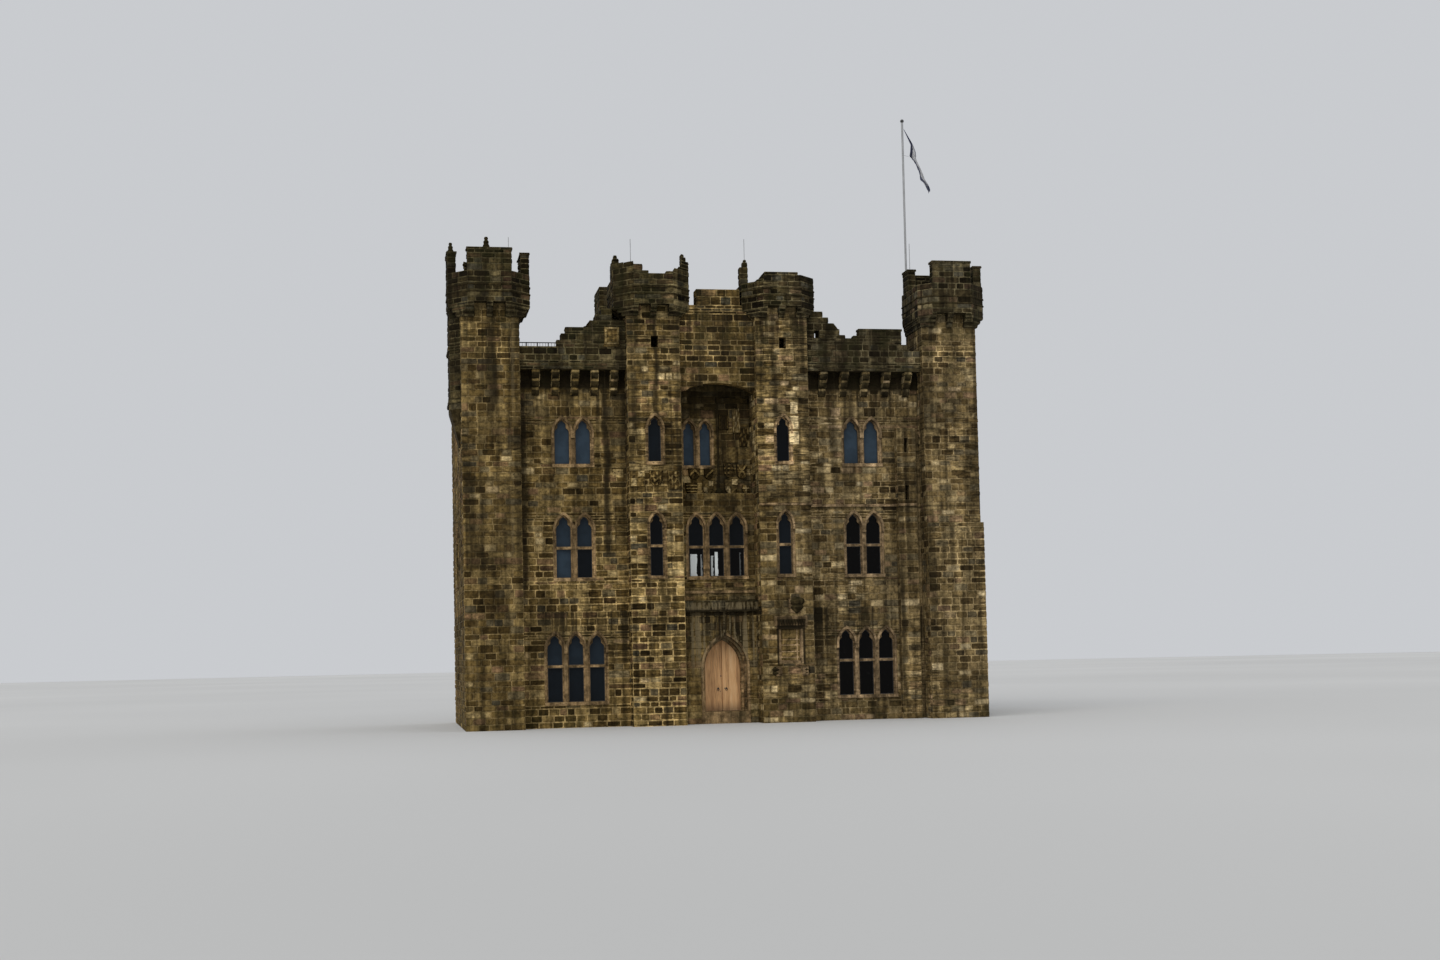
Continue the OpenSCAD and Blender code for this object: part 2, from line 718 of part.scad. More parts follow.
module gate_crown_left() {
    color(stone_dark) placed()
        crown(left_turret_mid, inner_y / 2, gate_turret_w / 2, inner_y / 2, left_gate_outs,
            [1, 0, 1, 0], gate_corbel_h, crenel_z, [
                [-far, -1150, -far, -200, 500],
                [-1150, -800, -far, -200, 430],
                [-800, -450, -far, -200, 360],
                [-450, -200, -far, 0, 110],
                [510, 860, -far, 0, 90],
                [860, far, -far, -600, 240],
                [1060, 1190, -far, -760, 340],
                [1190, 1300, -far, -760, 880],
                [1300, 1400, -far, -760, 780],
                [1400, far, -far, -760, 620],
                [-far, -1200, -300, 100, 600],
                [-1490, -1200, -270, 70, 720],
                [-1450, -1220, -240, 40, 860],
                [-1400, -1290, -200, 0, 1000]
            ], false);
}

module gate_crown_right() {
    color(stone_dark) placed()
        crown(right_turret_mid, inner_y / 2, gate_turret_w / 2, inner_y / 2, right_gate_outs,
            [0, 1, 1, 0], gate_corbel_h, right_crown_sill, [
                [-1000, -720, -far, -300, 70],
                [-720, 640, -far, -300, 350],
                [640, far, -far, -300, 240],
                [-far, spike_x + 97, spike_y - 160, spike_y + 160, spike_h - 320],
                [spike_x - 103, spike_x + 87, spike_y - 120, spike_y + 120, spike_h - 110],
                [spike_x - 48, spike_x + 47, spike_y - 80, spike_y + 80, spike_h]
            ], false);
}

module gate_rear_crowns() {
    face = gate_turret_w / 2 + crown_out - crown_chamfer;
    y = gate_tower_d - gate_turret_w / 2;
    color(stone_dark) placed() {
        crown(left_turret_mid, y, gate_turret_w / 2, gate_turret_w / 2, [0.65, 0, 0, 1],
            [1, 0, 0, 1], gate_corbel_h, crenel_z,
            [[-far, 0, -far, face, 850], [-face, far, 0, far, 850]], false);
        crown(right_turret_mid, y, gate_turret_w / 2, gate_turret_w / 2, [0, 0.65, 0, 1],
            [0, 1, 0, 1], gate_corbel_h, crenel_z,
            [[0, far, -far, face, 850], [-far, face, 0, far, 850]], false);
        for (x = [gate_l + gate_upper_t, recess_r])
            box(x, x + gate_turret_w - gate_upper_t, gate_tower_d - gate_turret_w,
                gate_tower_d - gate_upper_t, gate_roof_top, shaft_top + 1);
    }
}

module bay_wall_left() {
    color(stone) placed() difference() {
        box(-corner_in, gate_l, bay_setback, inner_y, 0, roof_top);
        window_holes("bay_left");
    }
}

// The right bay with its pilaster, which has two slots in it.
module bay_wall_right() {
    mid = (pilaster_l + pilaster_r) / 2;
    color(stone) placed() difference() {
        union() {
            box(gate_r, corner_in, bay_setback, inner_y, 0, roof_top);
            box(pilaster_l, pilaster_r, bay_setback - pilaster_out, bay_setback + 1, 0,
                pilaster_top);
        }
        window_holes("bay_right");
        for (z = [slot_low, slot_high])
            box(mid - slot_w / 2, mid + slot_w / 2, bay_setback - pilaster_out - 1,
                inner_y + 1, z, z + slot_h);
    }
}

// Stepped parapet of the left bay: low by the corner turret, rising in steps.
module bay_parapet_left() {
    steps_x = gate_l - 2760;
    high_x = gate_l - 1345;
    top = parapet_low + 4 * parapet_rise;
    outline = concat(
        [[-corner_in, bay_parapet_z], [gate_l, bay_parapet_z], [gate_l, top], [high_x, top],
            [high_x, top - parapet_rise]],
        [for (i = [2 : -1 : 0]) let (x = steps_x + i * parapet_run)
            each [[x, parapet_low + (i + 1) * parapet_rise], [x, parapet_low + i * parapet_rise]]],
        [[-corner_in, parapet_low]]);
    y0 = bay_parapet_setback;
    color(stone_dark) placed() {
        upright(y0, y0 + bay_parapet_t) polygon(outline);
        box(-corner_in, gate_l, y0 - band_out, y0 + 1, bay_parapet_z, bay_parapet_z + band_h);
        box(high_x + 250, gate_l, y0 - band_out, y0 + 1, parapet_low - 30, parapet_low + 60);
    }
}

// Parapet of the right bay, with one coped merlon.
module bay_parapet_right() {
    merlon_l = corner_in - 2570;
    merlon_r = corner_in - 790;
    top = parapet_low + 840;
    y0 = bay_parapet_setback;
    color(stone_dark) placed() {
        upright(y0, y0 + bay_parapet_t) polygon([
            [gate_r, bay_parapet_z], [corner_in, bay_parapet_z], [corner_in, parapet_low - 60],
            [merlon_r + 250, parapet_low - 60], [merlon_r + 250, parapet_low + 200],
            [merlon_r, parapet_low + 200], [merlon_r, top - coping_t],
            [merlon_l, top - coping_t], [merlon_l, parapet_low + 560],
            [merlon_l - 240, parapet_low + 560], [merlon_l - 240, parapet_low + 450],
            [gate_r, parapet_low + 450]]);
        box(gate_r, corner_in, y0 - band_out, y0 + 1, bay_parapet_z, bay_parapet_z + band_h);
        box(merlon_l - coping_out, merlon_r + coping_out, y0 - coping_out,
            y0 + bay_parapet_t + coping_out, top - coping_t, top);
    }
}

// Side view of a corbel of three rounded tiers, reaching out from the wall.
function corbel_profile(out, h) = concat([[0, 0]],
    [for (i = [0 : 2], a = [0 : 18 : 90]) [-(i * out / 3 + out / 3 * sin(a)),
        i * h / 3 + out / 3 * (1 - cos(a))]],
    [[-out, h], [0, h]]);

module corbel(x, y, z, w, out, h) {
    translate([x - w / 2, y, z]) rotate([90, 0, 90]) linear_extrude(w)
        polygon(corbel_profile(out, h));
}

module bay_corbels() {
    color(stone_dark) placed()
        for (bay = [[-corner_in, gate_l], [gate_r, corner_in]], i = [0 : bay_corbels - 1])
            corbel(bay[0] + (bay[1] - bay[0]) * (i + 0.85) / (bay_corbels + 0.45),
                bay_setback, bay_parapet_z - bay_corbel_h, bay_corbel_w,
                bay_setback - bay_parapet_setback, bay_corbel_h);
}

// The doorway: three orders of moulded stone in front, and behind the rebate a
// wider passage that the leaves swing into.
spring_z = ground_top + door_spring;
apex_z = ground_top + door_apex;
surround_half = door_w / 2 + surround_w;
surround_apex = apex_z + surround_w * 1.2;
rebate_y = entrance_setback + 3 * order_d;
leaf_half = door_w / 2 + leaf_lap;
leaf_apex = apex_z + leaf_lap * 1.2;
passage_half = leaf_half + 60;
passage_top = leaf_apex + 80;

// One side of the wall beside the door: side is -1 for the left, 1 for the right.
module entrance_side(side, edge) {
    a = door_x + side * surround_half;
    b = door_x + side * passage_half;
    box(min(a, edge), max(a, edge), entrance_setback, inner_y, 0, spring_z);
    box(min(a, b), max(a, b), rebate_y, inner_y, 0, spring_z);
}

module entrance_wall_left() {
    color(stone) placed() entrance_side(-1, recess_l);
}

module entrance_wall_right() {
    color(stone) placed() entrance_side(1, recess_r);
}

module entrance_head() {
    color(stone) placed() difference() {
        box(recess_l, recess_r, entrance_setback, inner_y, spring_z, ledge_z);
        translate([door_x, 0, 0]) upright(entrance_setback - 1, rebate_y)
            light_shape(2 * surround_half, spring_z - 1, spring_z, surround_apex);
        box(door_x - passage_half, door_x + passage_half, rebate_y - 1, inner_y + 1,
            spring_z - 1, passage_top);
    }
}

module door_surround() {
    color(stone_dressed) placed() translate([door_x, 0, 0]) {
        for (i = [0 : 2])
            upright(entrance_setback + i * order_d - (i == 0 ? surround_out : 0),
                entrance_setback + (i + 1) * order_d)
                difference() {
                    light_shape(2 * surround_half, ground_top, spring_z, surround_apex);
                    light_shape(door_w + 2 * surround_w * (2 - i) / 3, ground_top - 1, spring_z,
                        apex_z + 1.2 * surround_w * (2 - i) / 3);
                }
        box(-surround_half, surround_half, entrance_setback - surround_out, rebate_y, 0,
            ground_top);
    }
}

// The ledge across the recess above the door, on two small corbels.
module entrance_ledge() {
    color(stone_dark) placed() {
        box(recess_l, recess_r, ledge_y, inner_y, ledge_z, ledge_z + ledge_h);
        for (x = [door_x - 320, door_x + 320])
            box(x - 90, x + 90, ledge_y + 90, entrance_setback, ledge_z - 170, ledge_z + 1);
    }
}

module hall_wall() {
    color(stone) placed() difference() {
        box(recess_l, recess_r, hall_setback, inner_y, ledge_z + ledge_h, chamber_z);
        window_holes("hall");
    }
}

module chamber_wall() {
    color(stone) placed() difference() {
        box(recess_l, recess_r, chamber_setback, inner_y, chamber_z, gate_roof_top - floor_t);
        window_holes("chamber");
    }
}

// The arch over the recess with the parapet between the gate turrets on it.
module recess_arch() {
    rise = arch_crown - arch_spring;
    r = (recess_w * recess_w / 4 + rise * rise) / (2 * rise);
    back = arch_setback + arch_t;
    color(stone) placed() difference() {
        union() {
            box(recess_l, recess_r, arch_setback, back, arch_spring, gate_parapet_low);
            box(gate_mid + gate_merlon_l, gate_mid + gate_merlon_r, arch_setback, back,
                gate_parapet_low - 1, gate_parapet_top);
        }
        translate([gate_mid, back + 1, arch_crown - r]) rotate([90, 0, 0])
            cylinder(h = arch_t + 2, r = r, $fn = 200);
        for (c = [[left_turret_mid, left_gate_outs], [right_turret_mid, right_gate_outs]])
            translate([c[0], inner_y / 2, 0])
                crown_mass(gate_turret_w / 2, inner_y / 2, c[1], gate_corbel_h);
    }
}

module side_wall_left() {
    color(stone) placed() difference() {
        box(-half_w, -side_in, inner_y, rear_in, 0, roof_top);
        window_holes("side_left");
    }
}

module side_wall_right() {
    color(stone) placed() difference() {
        box(side_in, half_w, inner_y, rear_in, 0, roof_top);
        window_holes("side_right");
    }
}

module rear_wall() {
    color(stone) placed() difference() {
        box(-half_w, half_w, rear_in, keep_d, 0, roof_top);
        window_holes("rear");
    }
}

// Places of the merlons along a plain parapet from a to b.
function merlon_places(a, b) =
    let (n = floor((b - a - merlon_run * 0.6) / (merlon_run * 1.6)), pitch = (b - a) / n)
    [for (i = [0 : n - 1]) a + (i + 0.5) * pitch];

module side_parapets() {
    y1 = keep_d - side_parapet_t;
    z1 = roof_top + side_parapet_h;
    color(stone_dark) placed()
        for (s = [-1, 1]) {
            a = s < 0 ? -half_w : half_w - side_parapet_t;
            box(a, a + side_parapet_t, inner_y, y1, roof_top, z1);
            for (y = merlon_places(stair_y1 + 100, y1)) {
                box(a, a + side_parapet_t, y - merlon_run / 2, y + merlon_run / 2, z1 - 1,
                    z1 + side_merlon_h);
                box(a - coping_out, a + side_parapet_t + coping_out,
                    y - merlon_run / 2 - coping_out, y + merlon_run / 2 + coping_out,
                    z1 + side_merlon_h - 1, z1 + side_merlon_h + coping_t);
            }
        }
}

module rear_parapet() {
    y0 = keep_d - side_parapet_t;
    z1 = roof_top + side_parapet_h;
    color(stone_dark) placed() {
        box(-half_w, half_w, y0, keep_d, roof_top, z1);
        box(-half_w, half_w, keep_d - 1, keep_d + rear_out, roof_top + 20, roof_top + 200);
        for (x = merlon_places(-half_w, half_w)) {
            box(x - merlon_run / 2, x + merlon_run / 2, y0, keep_d, z1 - 1,
                z1 + side_merlon_h);
            box(x - merlon_run / 2 - coping_out, x + merlon_run / 2 + coping_out,
                y0 - coping_out, keep_d + coping_out, z1 + side_merlon_h - 1,
                z1 + side_merlon_h + coping_t);
        }
    }
}

// Stair turret corbelled out of the left side, with two string courses.
module stair_turret() {
    foot_w = (stair_y1 - stair_y0) / 3;
    foot_out = 60;
    band = 140;
    color(stone_dark) placed() {
        translate([0, 0, stair_z0]) linear_extrude(corbel_z - stair_z0) stair_plan();
        for (z = [stair_z0 + 250, stair_z0 + 2350])
            translate([0, 0, z]) linear_extrude(band) stair_plan(string_out);
        hull() {
            translate([0, 0, stair_z0]) linear_extrude(1) stair_plan();
            translate([-half_w - foot_out, stair_y0 + foot_w, stair_foot])
                cube([foot_out, foot_w, 1]);
        }
    }
}

// A floor between the outer walls, with tongues into the gate turrets.
module floor_slab(top) {
    z0 = top - floor_t;
    box(-side_in, side_in, inner_y, rear_in, z0, top);
    for (x = [gate_l, recess_r])
        box(x + gate_wall_t, x + gate_turret_w - gate_wall_t, gate_wall_t, inner_y + 1, z0, top);
}

module ground_floor() {
    color(slab) placed() {
        floor_slab(ground_top);
        box(door_x - passage_half, door_x + passage_half, rebate_y, inner_y + 1,
            ground_top - floor_t, ground_top);
    }
}

module first_floor() {
    color(slab) placed() floor_slab(first_top);
}

module second_floor() {
    color(slab) placed() floor_slab(second_top);
}

module main_roof() {
    color(slab) placed() floor_slab(roof_top);
}

module gate_roof() {
    z0 = gate_roof_top - floor_t;
    color(slab) placed() {
        box(gate_l + gate_upper_t, gate_r - gate_upper_t, inner_y, gate_tower_d - gate_upper_t,
            z0, gate_roof_top);
        box(recess_l, recess_r, arch_setback + arch_t, inner_y + 1, z0, gate_roof_top);
    }
}

// Walls of the gate tower above the main roof, with parapets between the crowns.
module gate_upper_walls() {
    d = gate_tower_d;
    color(stone) placed() {
        for (x = [gate_l, gate_r - gate_upper_t]) {
            box(x, x + gate_upper_t, inner_y, d, roof_top, shaft_top);
            box(x, x + gate_upper_t, inner_y, d - gate_turret_w, shaft_top - 1,
                upper_parapet_z);
        }
        box(gate_l, gate_r, d - gate_upper_t, d, roof_top, shaft_top);
        box(recess_l, recess_r, d - gate_upper_t, d, shaft_top - 1, upper_parapet_z);
    }
}

module window_stone_ground() {
    color(stone_dressed) placed() window_stonework(0);
}

module window_stone_first() {
    color(stone_dressed) placed() window_stonework(1);
}

module window_stone_second() {
    color(stone_dressed) placed() window_stonework(2);
}

module glass_ground() {
    color(glass) placed() window_glass(0);
}

module glass_first() {
    color(glass) placed() window_glass(1);
}

module glass_second() {
    color(glass) placed() window_glass(2);
}

// String course over the first floor of the right half, and the moulding above
// the ledge in the recess.
module string_courses() {
    z1 = string_z + string_h;
    bay = bay_setback;
    front = bay_setback - pilaster_out;
    color(stone_dressed) placed() {
        box(recess_r, gate_r + string_out, -string_out, 0, string_z, z1);
        box(gate_r, gate_r + string_out, -1, bay, string_z, z1);
        box(gate_r, pilaster_l, bay - string_out, bay, string_z, z1);
        box(pilaster_l, pilaster_r, front - string_out, front, string_z, z1);
        box(recess_l, recess_r, hall_setback - string_out, hall_setback, hall_string_z,
            hall_string_z + string_h);
    }
}

// Stone panel with a carved lintel over it and two brackets under it.
module niche() {
    lintel_half = 665;
    w = niche_w / 2;
    color(stone_dressed) placed() translate([niche_mid, 0, 0]) {
        difference() {
            box(-w, w, 0, niche_d, niche_z0, niche_z1);
            box(-w + 90, w - 90, -1, niche_d - 80, niche_z0 + 90, niche_z1 + 1);
        }
        box(-lintel_half, lintel_half, -120, 0, niche_z1, niche_z1 + lintel_h);
        box(-lintel_half + 60, lintel_half - 60, -80, 0, niche_z1 - 110, niche_z1 + 1);
        for (x = [-650, 420])
            box(x, x + 230, -140, 0, niche_z0 - 500, niche_z0 - 130);
        corbel(170, 0, niche_z1 + lintel_h + 110, 500, 150, 580);
    }
}

// Part of the roof stairs from a to b beyond the gate turret: side is -1 on the left,
// 1 on the right.
module stair_part(side, a, b, z0, z1) {
    x0 = side > 0 ? gate_r + a : gate_l - b;
    box(x0, x0 + b - a, bay_setback, bay_setback + stair_w, z0, z1);
}

// Stone steps rising from the bay roofs to the gate tower, whose crown reaches as far
// as reach. An opening under their landing goes from the first pier to gap_end.
module roof_stair(side, count, reach, gap_end) {
    top = shaft_top + 30;
    stair_part(side, 0, stair_gap_l, roof_top, shaft_top - gate_corbel_h);
    stair_part(side, reach, stair_gap_l, roof_top, top);
    stair_part(side, reach, landing_end, stair_gap_top, top);
    stair_part(side, gap_end, landing_end, roof_top, top);
    for (i = [1 : count - 1])
        stair_part(side, landing_end + (i - 1) * step_run, landing_end + i * step_run, roof_top,
            top - i * step_rise);
}

module roof_stairs() {
    color(stone_dark) placed() {
        roof_stair(1, 7, crown_out * right_gate_outs[1], stair_gap_r);
        roof_stair(-1, 6, crown_out * left_gate_outs[0], stair_gap_l);
    }
}

// Hinge axes: just behind the leaves' back faces.
eye_r = pin_d / 2 + pin_gap + eye_wall;
leaf_y = rebate_y + leaf_gap;
axis_off = eye_r + 1;
axis_y = leaf_y + leaf_t + axis_off;
back_reach = leaf_half - meeting_gap / 2 - 1;
sweep = sqrt(back_reach * back_reach + axis_off * axis_off);
front_reach = sqrt(sweep * sweep - (leaf_t + axis_off) * (leaf_t + axis_off));

// The left leaf with its straps and hinge eyes, drawn about the middle of the door.
module leaf() {
    z0 = ground_top + leaf_gap;
    difference() {
        upright(leaf_y, leaf_y + leaf_t) intersection() {
            light_shape(2 * leaf_half, z0, spring_z, leaf_apex);
            translate([-leaf_half, 0]) square([leaf_half, leaf_apex + 1]);
        }
        translate([0, 0, z0 - 1]) linear_extrude(leaf_apex)
            polygon([[front_reach - leaf_half, leaf_y], [front_reach - leaf_half, leaf_y - 1],
                [1, leaf_y - 1], [1, leaf_y + leaf_t + 1],
                [back_reach - leaf_half, leaf_y + leaf_t + 1],
                [back_reach - leaf_half, leaf_y + leaf_t]]);
    }
    for (h = [hinge_low, hinge_high])
        difference() {
            union() {
                translate([-leaf_half, axis_y, ground_top + h])
                    cylinder(h = eye_h, r = eye_r, $fn = 48);
                box(-leaf_half, strap_l - leaf_half, leaf_y + leaf_t,
                    leaf_y + leaf_t + strap_t, ground_top + h, ground_top + h + eye_h);
            }
            translate([-leaf_half, axis_y, ground_top + h - 1])
                cylinder(h = eye_h + 2, d = pin_d + 2 * pin_gap, $fn = 48);
        }
}

module door_leaf_left() {
    color(oak) placed() translate([door_x, 0, 0]) leaf();
}

module door_leaf_right() {
    color(oak) placed() translate([door_x, 0, 0]) mirror([1, 0, 0]) leaf();
}

// Iron ring handle with its plate, on the front of a leaf.
module handle() {
    z = ground_top + handle_z;
    translate([-handle_x, leaf_y, z]) rotate([90, 0, 0]) {
        cylinder(h = 10, r = 38, $fn = 32);
        cylinder(h = 46, r = 13, $fn = 32);
    }
    translate([-handle_x, leaf_y - 40, z - 40]) rotate([90, 0, 0])
        rotate_extrude($fn = 32) translate([42, 0]) circle(r = 9, $fn = 16);
}

module door_handle_left() {
    color(iron) placed() translate([door_x, 0, 0]) handle();
}

module door_handle_right() {
    color(iron) placed() translate([door_x, 0, 0]) mirror([1, 0, 0]) handle();
}

// Hinge pins on arms that are built into the jambs.
module door_pins() {
    arm_h = 30;
    color(iron) placed() translate([door_x, 0, 0])
        for (side = [0, 1], h = [hinge_low, hinge_high]) mirror([side, 0, 0]) {
            z = ground_top + h;
            translate([-leaf_half, axis_y, z - arm_h])
                cylinder(h = arm_h + eye_h + 15, d = pin_d, $fn = 48);
            box(-passage_half, -leaf_half + pin_d / 2, axis_y - pin_d / 2, axis_y + pin_d / 2,
                z - arm_h, z - pin_gap);
        }
}

pole_x = corner_in + pole_in;
pole_y = inner_y + crown_out + pole_back;
module flagpole() {
    upper = 7000;
    color(metal) placed() translate([pole_x, pole_y, 0]) {
        translate([0, 0, roof_top]) cylinder(h = 40, d = 3 * pole_d, $fn = 32);
        translate([0, 0, roof_top]) cylinder(h = pole_top - upper - roof_top, d = pole_d, $fn = 32);
        translate([0, 0, pole_top - upper - 1])
            cylinder(h = upper - pole_d, d = pole_d * 0.7, $fn = 32);
        translate([0, 0, pole_top - pole_d * 0.6]) sphere(d = pole_d * 1.2, $fn = 32);
    }
}

// The flag hangs limp from the top of its hoist, whose lower corner swings free.
flag_top = pole_top - 400;
module flag() {
    color(cloth) placed() translate([pole_x + pole_d * 0.35, 0, flag_top])
        upright(pole_y - 60, pole_y + 60) polygon([
            [0, 0], [0, -80], [250, -680], [170, -flag_hoist], [420, -flag_hoist - 40],
            [600, -1560], [720, -2100], [860, -2200], [1100, -2640], [1180, -2600],
            [960, -2050], [760, -1540], [560, -1120], [400, -660]]);
}

// Posts and rails on the wall walk behind the low stretch of the left parapet.
module roof_rail() {
    y = bay_setback + 600;
    x0 = -corner_in;
    x1 = gate_l - 2500;
    posts = 4;
    color(iron) placed() {
        for (z = [roof_top + rail_h, roof_top + rail_h / 2])
            translate([x0, y, z]) rotate([0, 90, 0]) cylinder(h = x1 - x0, d = rail_d, $fn = 16);
        for (i = [1 : posts])
            translate([x0 + (x1 - x0) * i / posts - rail_d, y, roof_top])
                cylinder(h = rail_h + rail_d / 2, d = rail_d, $fn = 16);
    }
}

module lightning_rods() {
    z = shaft_top + crown_floor_t;
    tip = crenel_z + rod_l;
    spike_z = right_crown_sill + spike_h;
    color(metal) placed()
        for (p = [[left_turret_mid - 820, 200, z, tip], [-corner_mid + 800, 300, z, tip],
            [right_turret_mid + spike_x, inner_y / 2 + spike_y, spike_z, tip + 220],
            [corner_in + 200, inner_y - 170, z - right_drop, tip + 500]])
            translate([p[0], p[1], p[2]]) cylinder(h = p[3] - p[2], d = rod_d, $fn = 16);
}

// Weathered stumps of carved figures on the left corner turret's merlons.
module figure_stump(s) {
    scale(s) rotate_extrude($fn = 24)
        polygon([[0, 0], [130, 0], [140, 60], [95, 150], [110, 240], [62, 305], [80, 370],
            [55, 425], [0, 440]]);
}

module figures() {
    z = crenel_z + corner_merlon_h + coping_t;
    color(stone_dark) placed() {
        translate([-corner_mid - 110, parapet_t / 2 - crown_out, z]) figure_stump(1);
        translate([-half_w - crown_out + parapet_t / 2 - 20, inner_y / 2 - 500, z])
            figure_stump(0.9);
    }
}

corner_turret_left();
corner_turret_right();
corner_crown_left();
corner_crown_right();
gate_turret_left();
gate_turret_right();
gate_crown_left();
gate_crown_right();
gate_rear_crowns();
bay_wall_left();
bay_wall_right();
bay_parapet_left();
bay_parapet_right();
bay_corbels();
entrance_wall_left();
entrance_wall_right();
entrance_head();
door_surround();
entrance_ledge();
hall_wall();
chamber_wall();
recess_arch();
side_wall_left();
side_wall_right();
rear_wall();
side_parapets();
rear_parapet();
stair_turret();
ground_floor();
first_floor();
second_floor();
main_roof();
gate_roof();
gate_upper_walls();
window_stone_ground();
window_stone_first();
window_stone_second();
glass_ground();
glass_first();
glass_second();
string_courses();
niche();
roof_stairs();
door_leaf_left();
door_leaf_right();
door_handle_left();
door_handle_right();
door_pins();
flagpole();
flag();
roof_rail();
lightning_rods();
figures();
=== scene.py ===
import json
import math
from functools import reduce

import bpy
import numpy as np
from mathutils import Matrix
from mathutils.bvhtree import BVHTree


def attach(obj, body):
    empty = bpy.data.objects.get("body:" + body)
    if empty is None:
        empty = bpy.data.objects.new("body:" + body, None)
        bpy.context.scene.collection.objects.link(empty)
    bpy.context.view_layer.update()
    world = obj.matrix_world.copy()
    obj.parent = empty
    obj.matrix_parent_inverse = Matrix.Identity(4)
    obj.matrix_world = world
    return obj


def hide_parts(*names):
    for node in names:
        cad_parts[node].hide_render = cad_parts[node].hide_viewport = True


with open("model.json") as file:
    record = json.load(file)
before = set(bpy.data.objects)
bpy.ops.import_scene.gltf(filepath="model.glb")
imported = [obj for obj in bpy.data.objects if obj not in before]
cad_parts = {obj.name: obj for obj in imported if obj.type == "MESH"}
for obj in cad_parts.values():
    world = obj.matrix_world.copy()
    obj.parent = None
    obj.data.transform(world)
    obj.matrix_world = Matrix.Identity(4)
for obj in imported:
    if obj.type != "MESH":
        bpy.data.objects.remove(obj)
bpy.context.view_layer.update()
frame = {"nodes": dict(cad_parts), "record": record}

nodes = frame["nodes"]

# Lines of the plan, in metres.
HALF_WIDTH = 10.5
GATE_TURRET_MIDS = (-2.9, 2.32)
BAY_MIDS = (-6.0925, 5.8025)
TURRET_FACE, BAY_FACE, HALL_FACE, CHAMBER_FACE = -5.3, -4.4, -4.2, -3.7
REAR_FACE = 5.7
DOOR_MID, DOOR_HALF, DOOR_SPRING, DOOR_APEX = -0.08, 0.745, 2.24, 3.36
THRESHOLD = 0.48
BOARDS = 5                 # boards on a leaf of the door
CAP_FOOT = 25.42           # foot of the black cap on the pole

# Camera and stage


def place_camera():
    """Camera at the photograph's viewpoint. The picture is 1440 x 960."""
    picture_width, film_width = 1440.0, 36.0
    focal_px, raised_px = 1798.9, 84.2
    eye = (-13.37, -75.67, 2.70)
    yaw, pitch, roll = np.radians([10.45, 2.93, -1.25])
    ahead = np.array([math.sin(yaw) * math.cos(pitch), math.cos(yaw) * math.cos(pitch),
                      math.sin(pitch)])
    level = np.array([math.cos(yaw), -math.sin(yaw), 0.0])
    upright = np.cross(level, ahead)
    right = math.cos(roll) * level + math.sin(roll) * upright
    up = math.cos(roll) * upright - math.sin(roll) * level
    turn = np.eye(4)
    turn[:3, 0], turn[:3, 1], turn[:3, 2] = right, up, -ahead
    turn[:3, 3] = eye
    data = bpy.data.cameras.new("camera")
    data.sensor_width = film_width
    data.lens = focal_px * film_width / picture_width
    data.shift_y = raised_px / picture_width
    data.clip_end = 2000.0
    camera = bpy.data.objects.new("camera", data)
    camera.matrix_world = Matrix(turn.tolist())
    bpy.context.scene.collection.objects.link(camera)
    bpy.context.scene.camera = camera


def place_light():
    """Soft studio light: an even pale surround and one broad lamp high in front."""
    world = bpy.data.worlds.new("surround")
    world.use_nodes = True
    surround = world.node_tree.nodes["Background"]
    surround.inputs["Color"].default_value = (0.585, 0.60, 0.625, 1)
    surround.inputs["Strength"].default_value = 1.0
    bpy.context.scene.world = world
    bpy.context.scene.view_settings.view_transform = "Standard"
    lamp = bpy.data.lights.new("broad_lamp", "SUN")
    lamp.energy = 1.1
    lamp.angle = math.radians(50)
    lamp.color = (1.0, 0.97, 0.92)
    holder = bpy.data.objects.new("broad_lamp", lamp)
    holder.rotation_euler = np.radians([50, 0, -28])
    bpy.context.scene.collection.objects.link(holder)


place_camera()
place_light()

# Mesh builders


def mesh_piece(name, points, faces, material, slot, body="keep", smooth=False):
    """One piece from an array of points and a list of arrays of point numbers, each
    array holding faces with the same number of corners."""
    faces = [np.asarray(f, np.int32) for f in faces if len(f)]
    sizes = np.concatenate([np.full(len(f), f.shape[1], np.int32) for f in faces])
    corners = np.concatenate([f.ravel() for f in faces])
    mesh = bpy.data.meshes.new(name)
    mesh.vertices.add(len(points))
    mesh.vertices.foreach_set("co", np.asarray(points, np.float32).ravel())
    mesh.loops.add(len(corners))
    mesh.loops.foreach_set("vertex_index", corners)
    mesh.polygons.add(len(sizes))
    mesh.polygons.foreach_set("loop_start", (np.cumsum(sizes) - sizes).astype(np.int32))
    mesh.polygons.foreach_set("use_smooth", np.full(len(sizes), smooth))
    mesh.update(calc_edges=True)
    mesh.materials.append(material)
    piece = bpy.data.objects.new(name, mesh)
    bpy.context.scene.collection.objects.link(piece)
    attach(piece, body)
    return piece


def grid_faces(rows, columns, round_rows=False, round_columns=False):
    """Four-cornered faces of a grid of points, closed on itself where asked."""
    a = np.arange(rows if round_rows else rows - 1)
    b = np.arange(columns if round_columns else columns - 1)
    a, b = np.meshgrid(a, b, indexing="ij")
    a1, b1 = (a + 1) % rows, (b + 1) % columns
    corners = [a * columns + b, a1 * columns + b, a1 * columns + b1, a * columns + b1]
    return np.stack([c.ravel() for c in corners], axis=1)


def closed_grid(rows, columns):
    """Faces of a grid of points, and one more behind it through the points round its
    edge."""
    last = (rows - 1) * columns
    rim = np.concatenate([np.arange(columns), np.arange(1, rows) * columns + columns - 1,
                          last + np.arange(columns - 2, -1, -1),
                          np.arange(rows - 2, 0, -1) * columns])
    return grid_faces(rows, columns)[:, ::-1], rim[::-1][None]


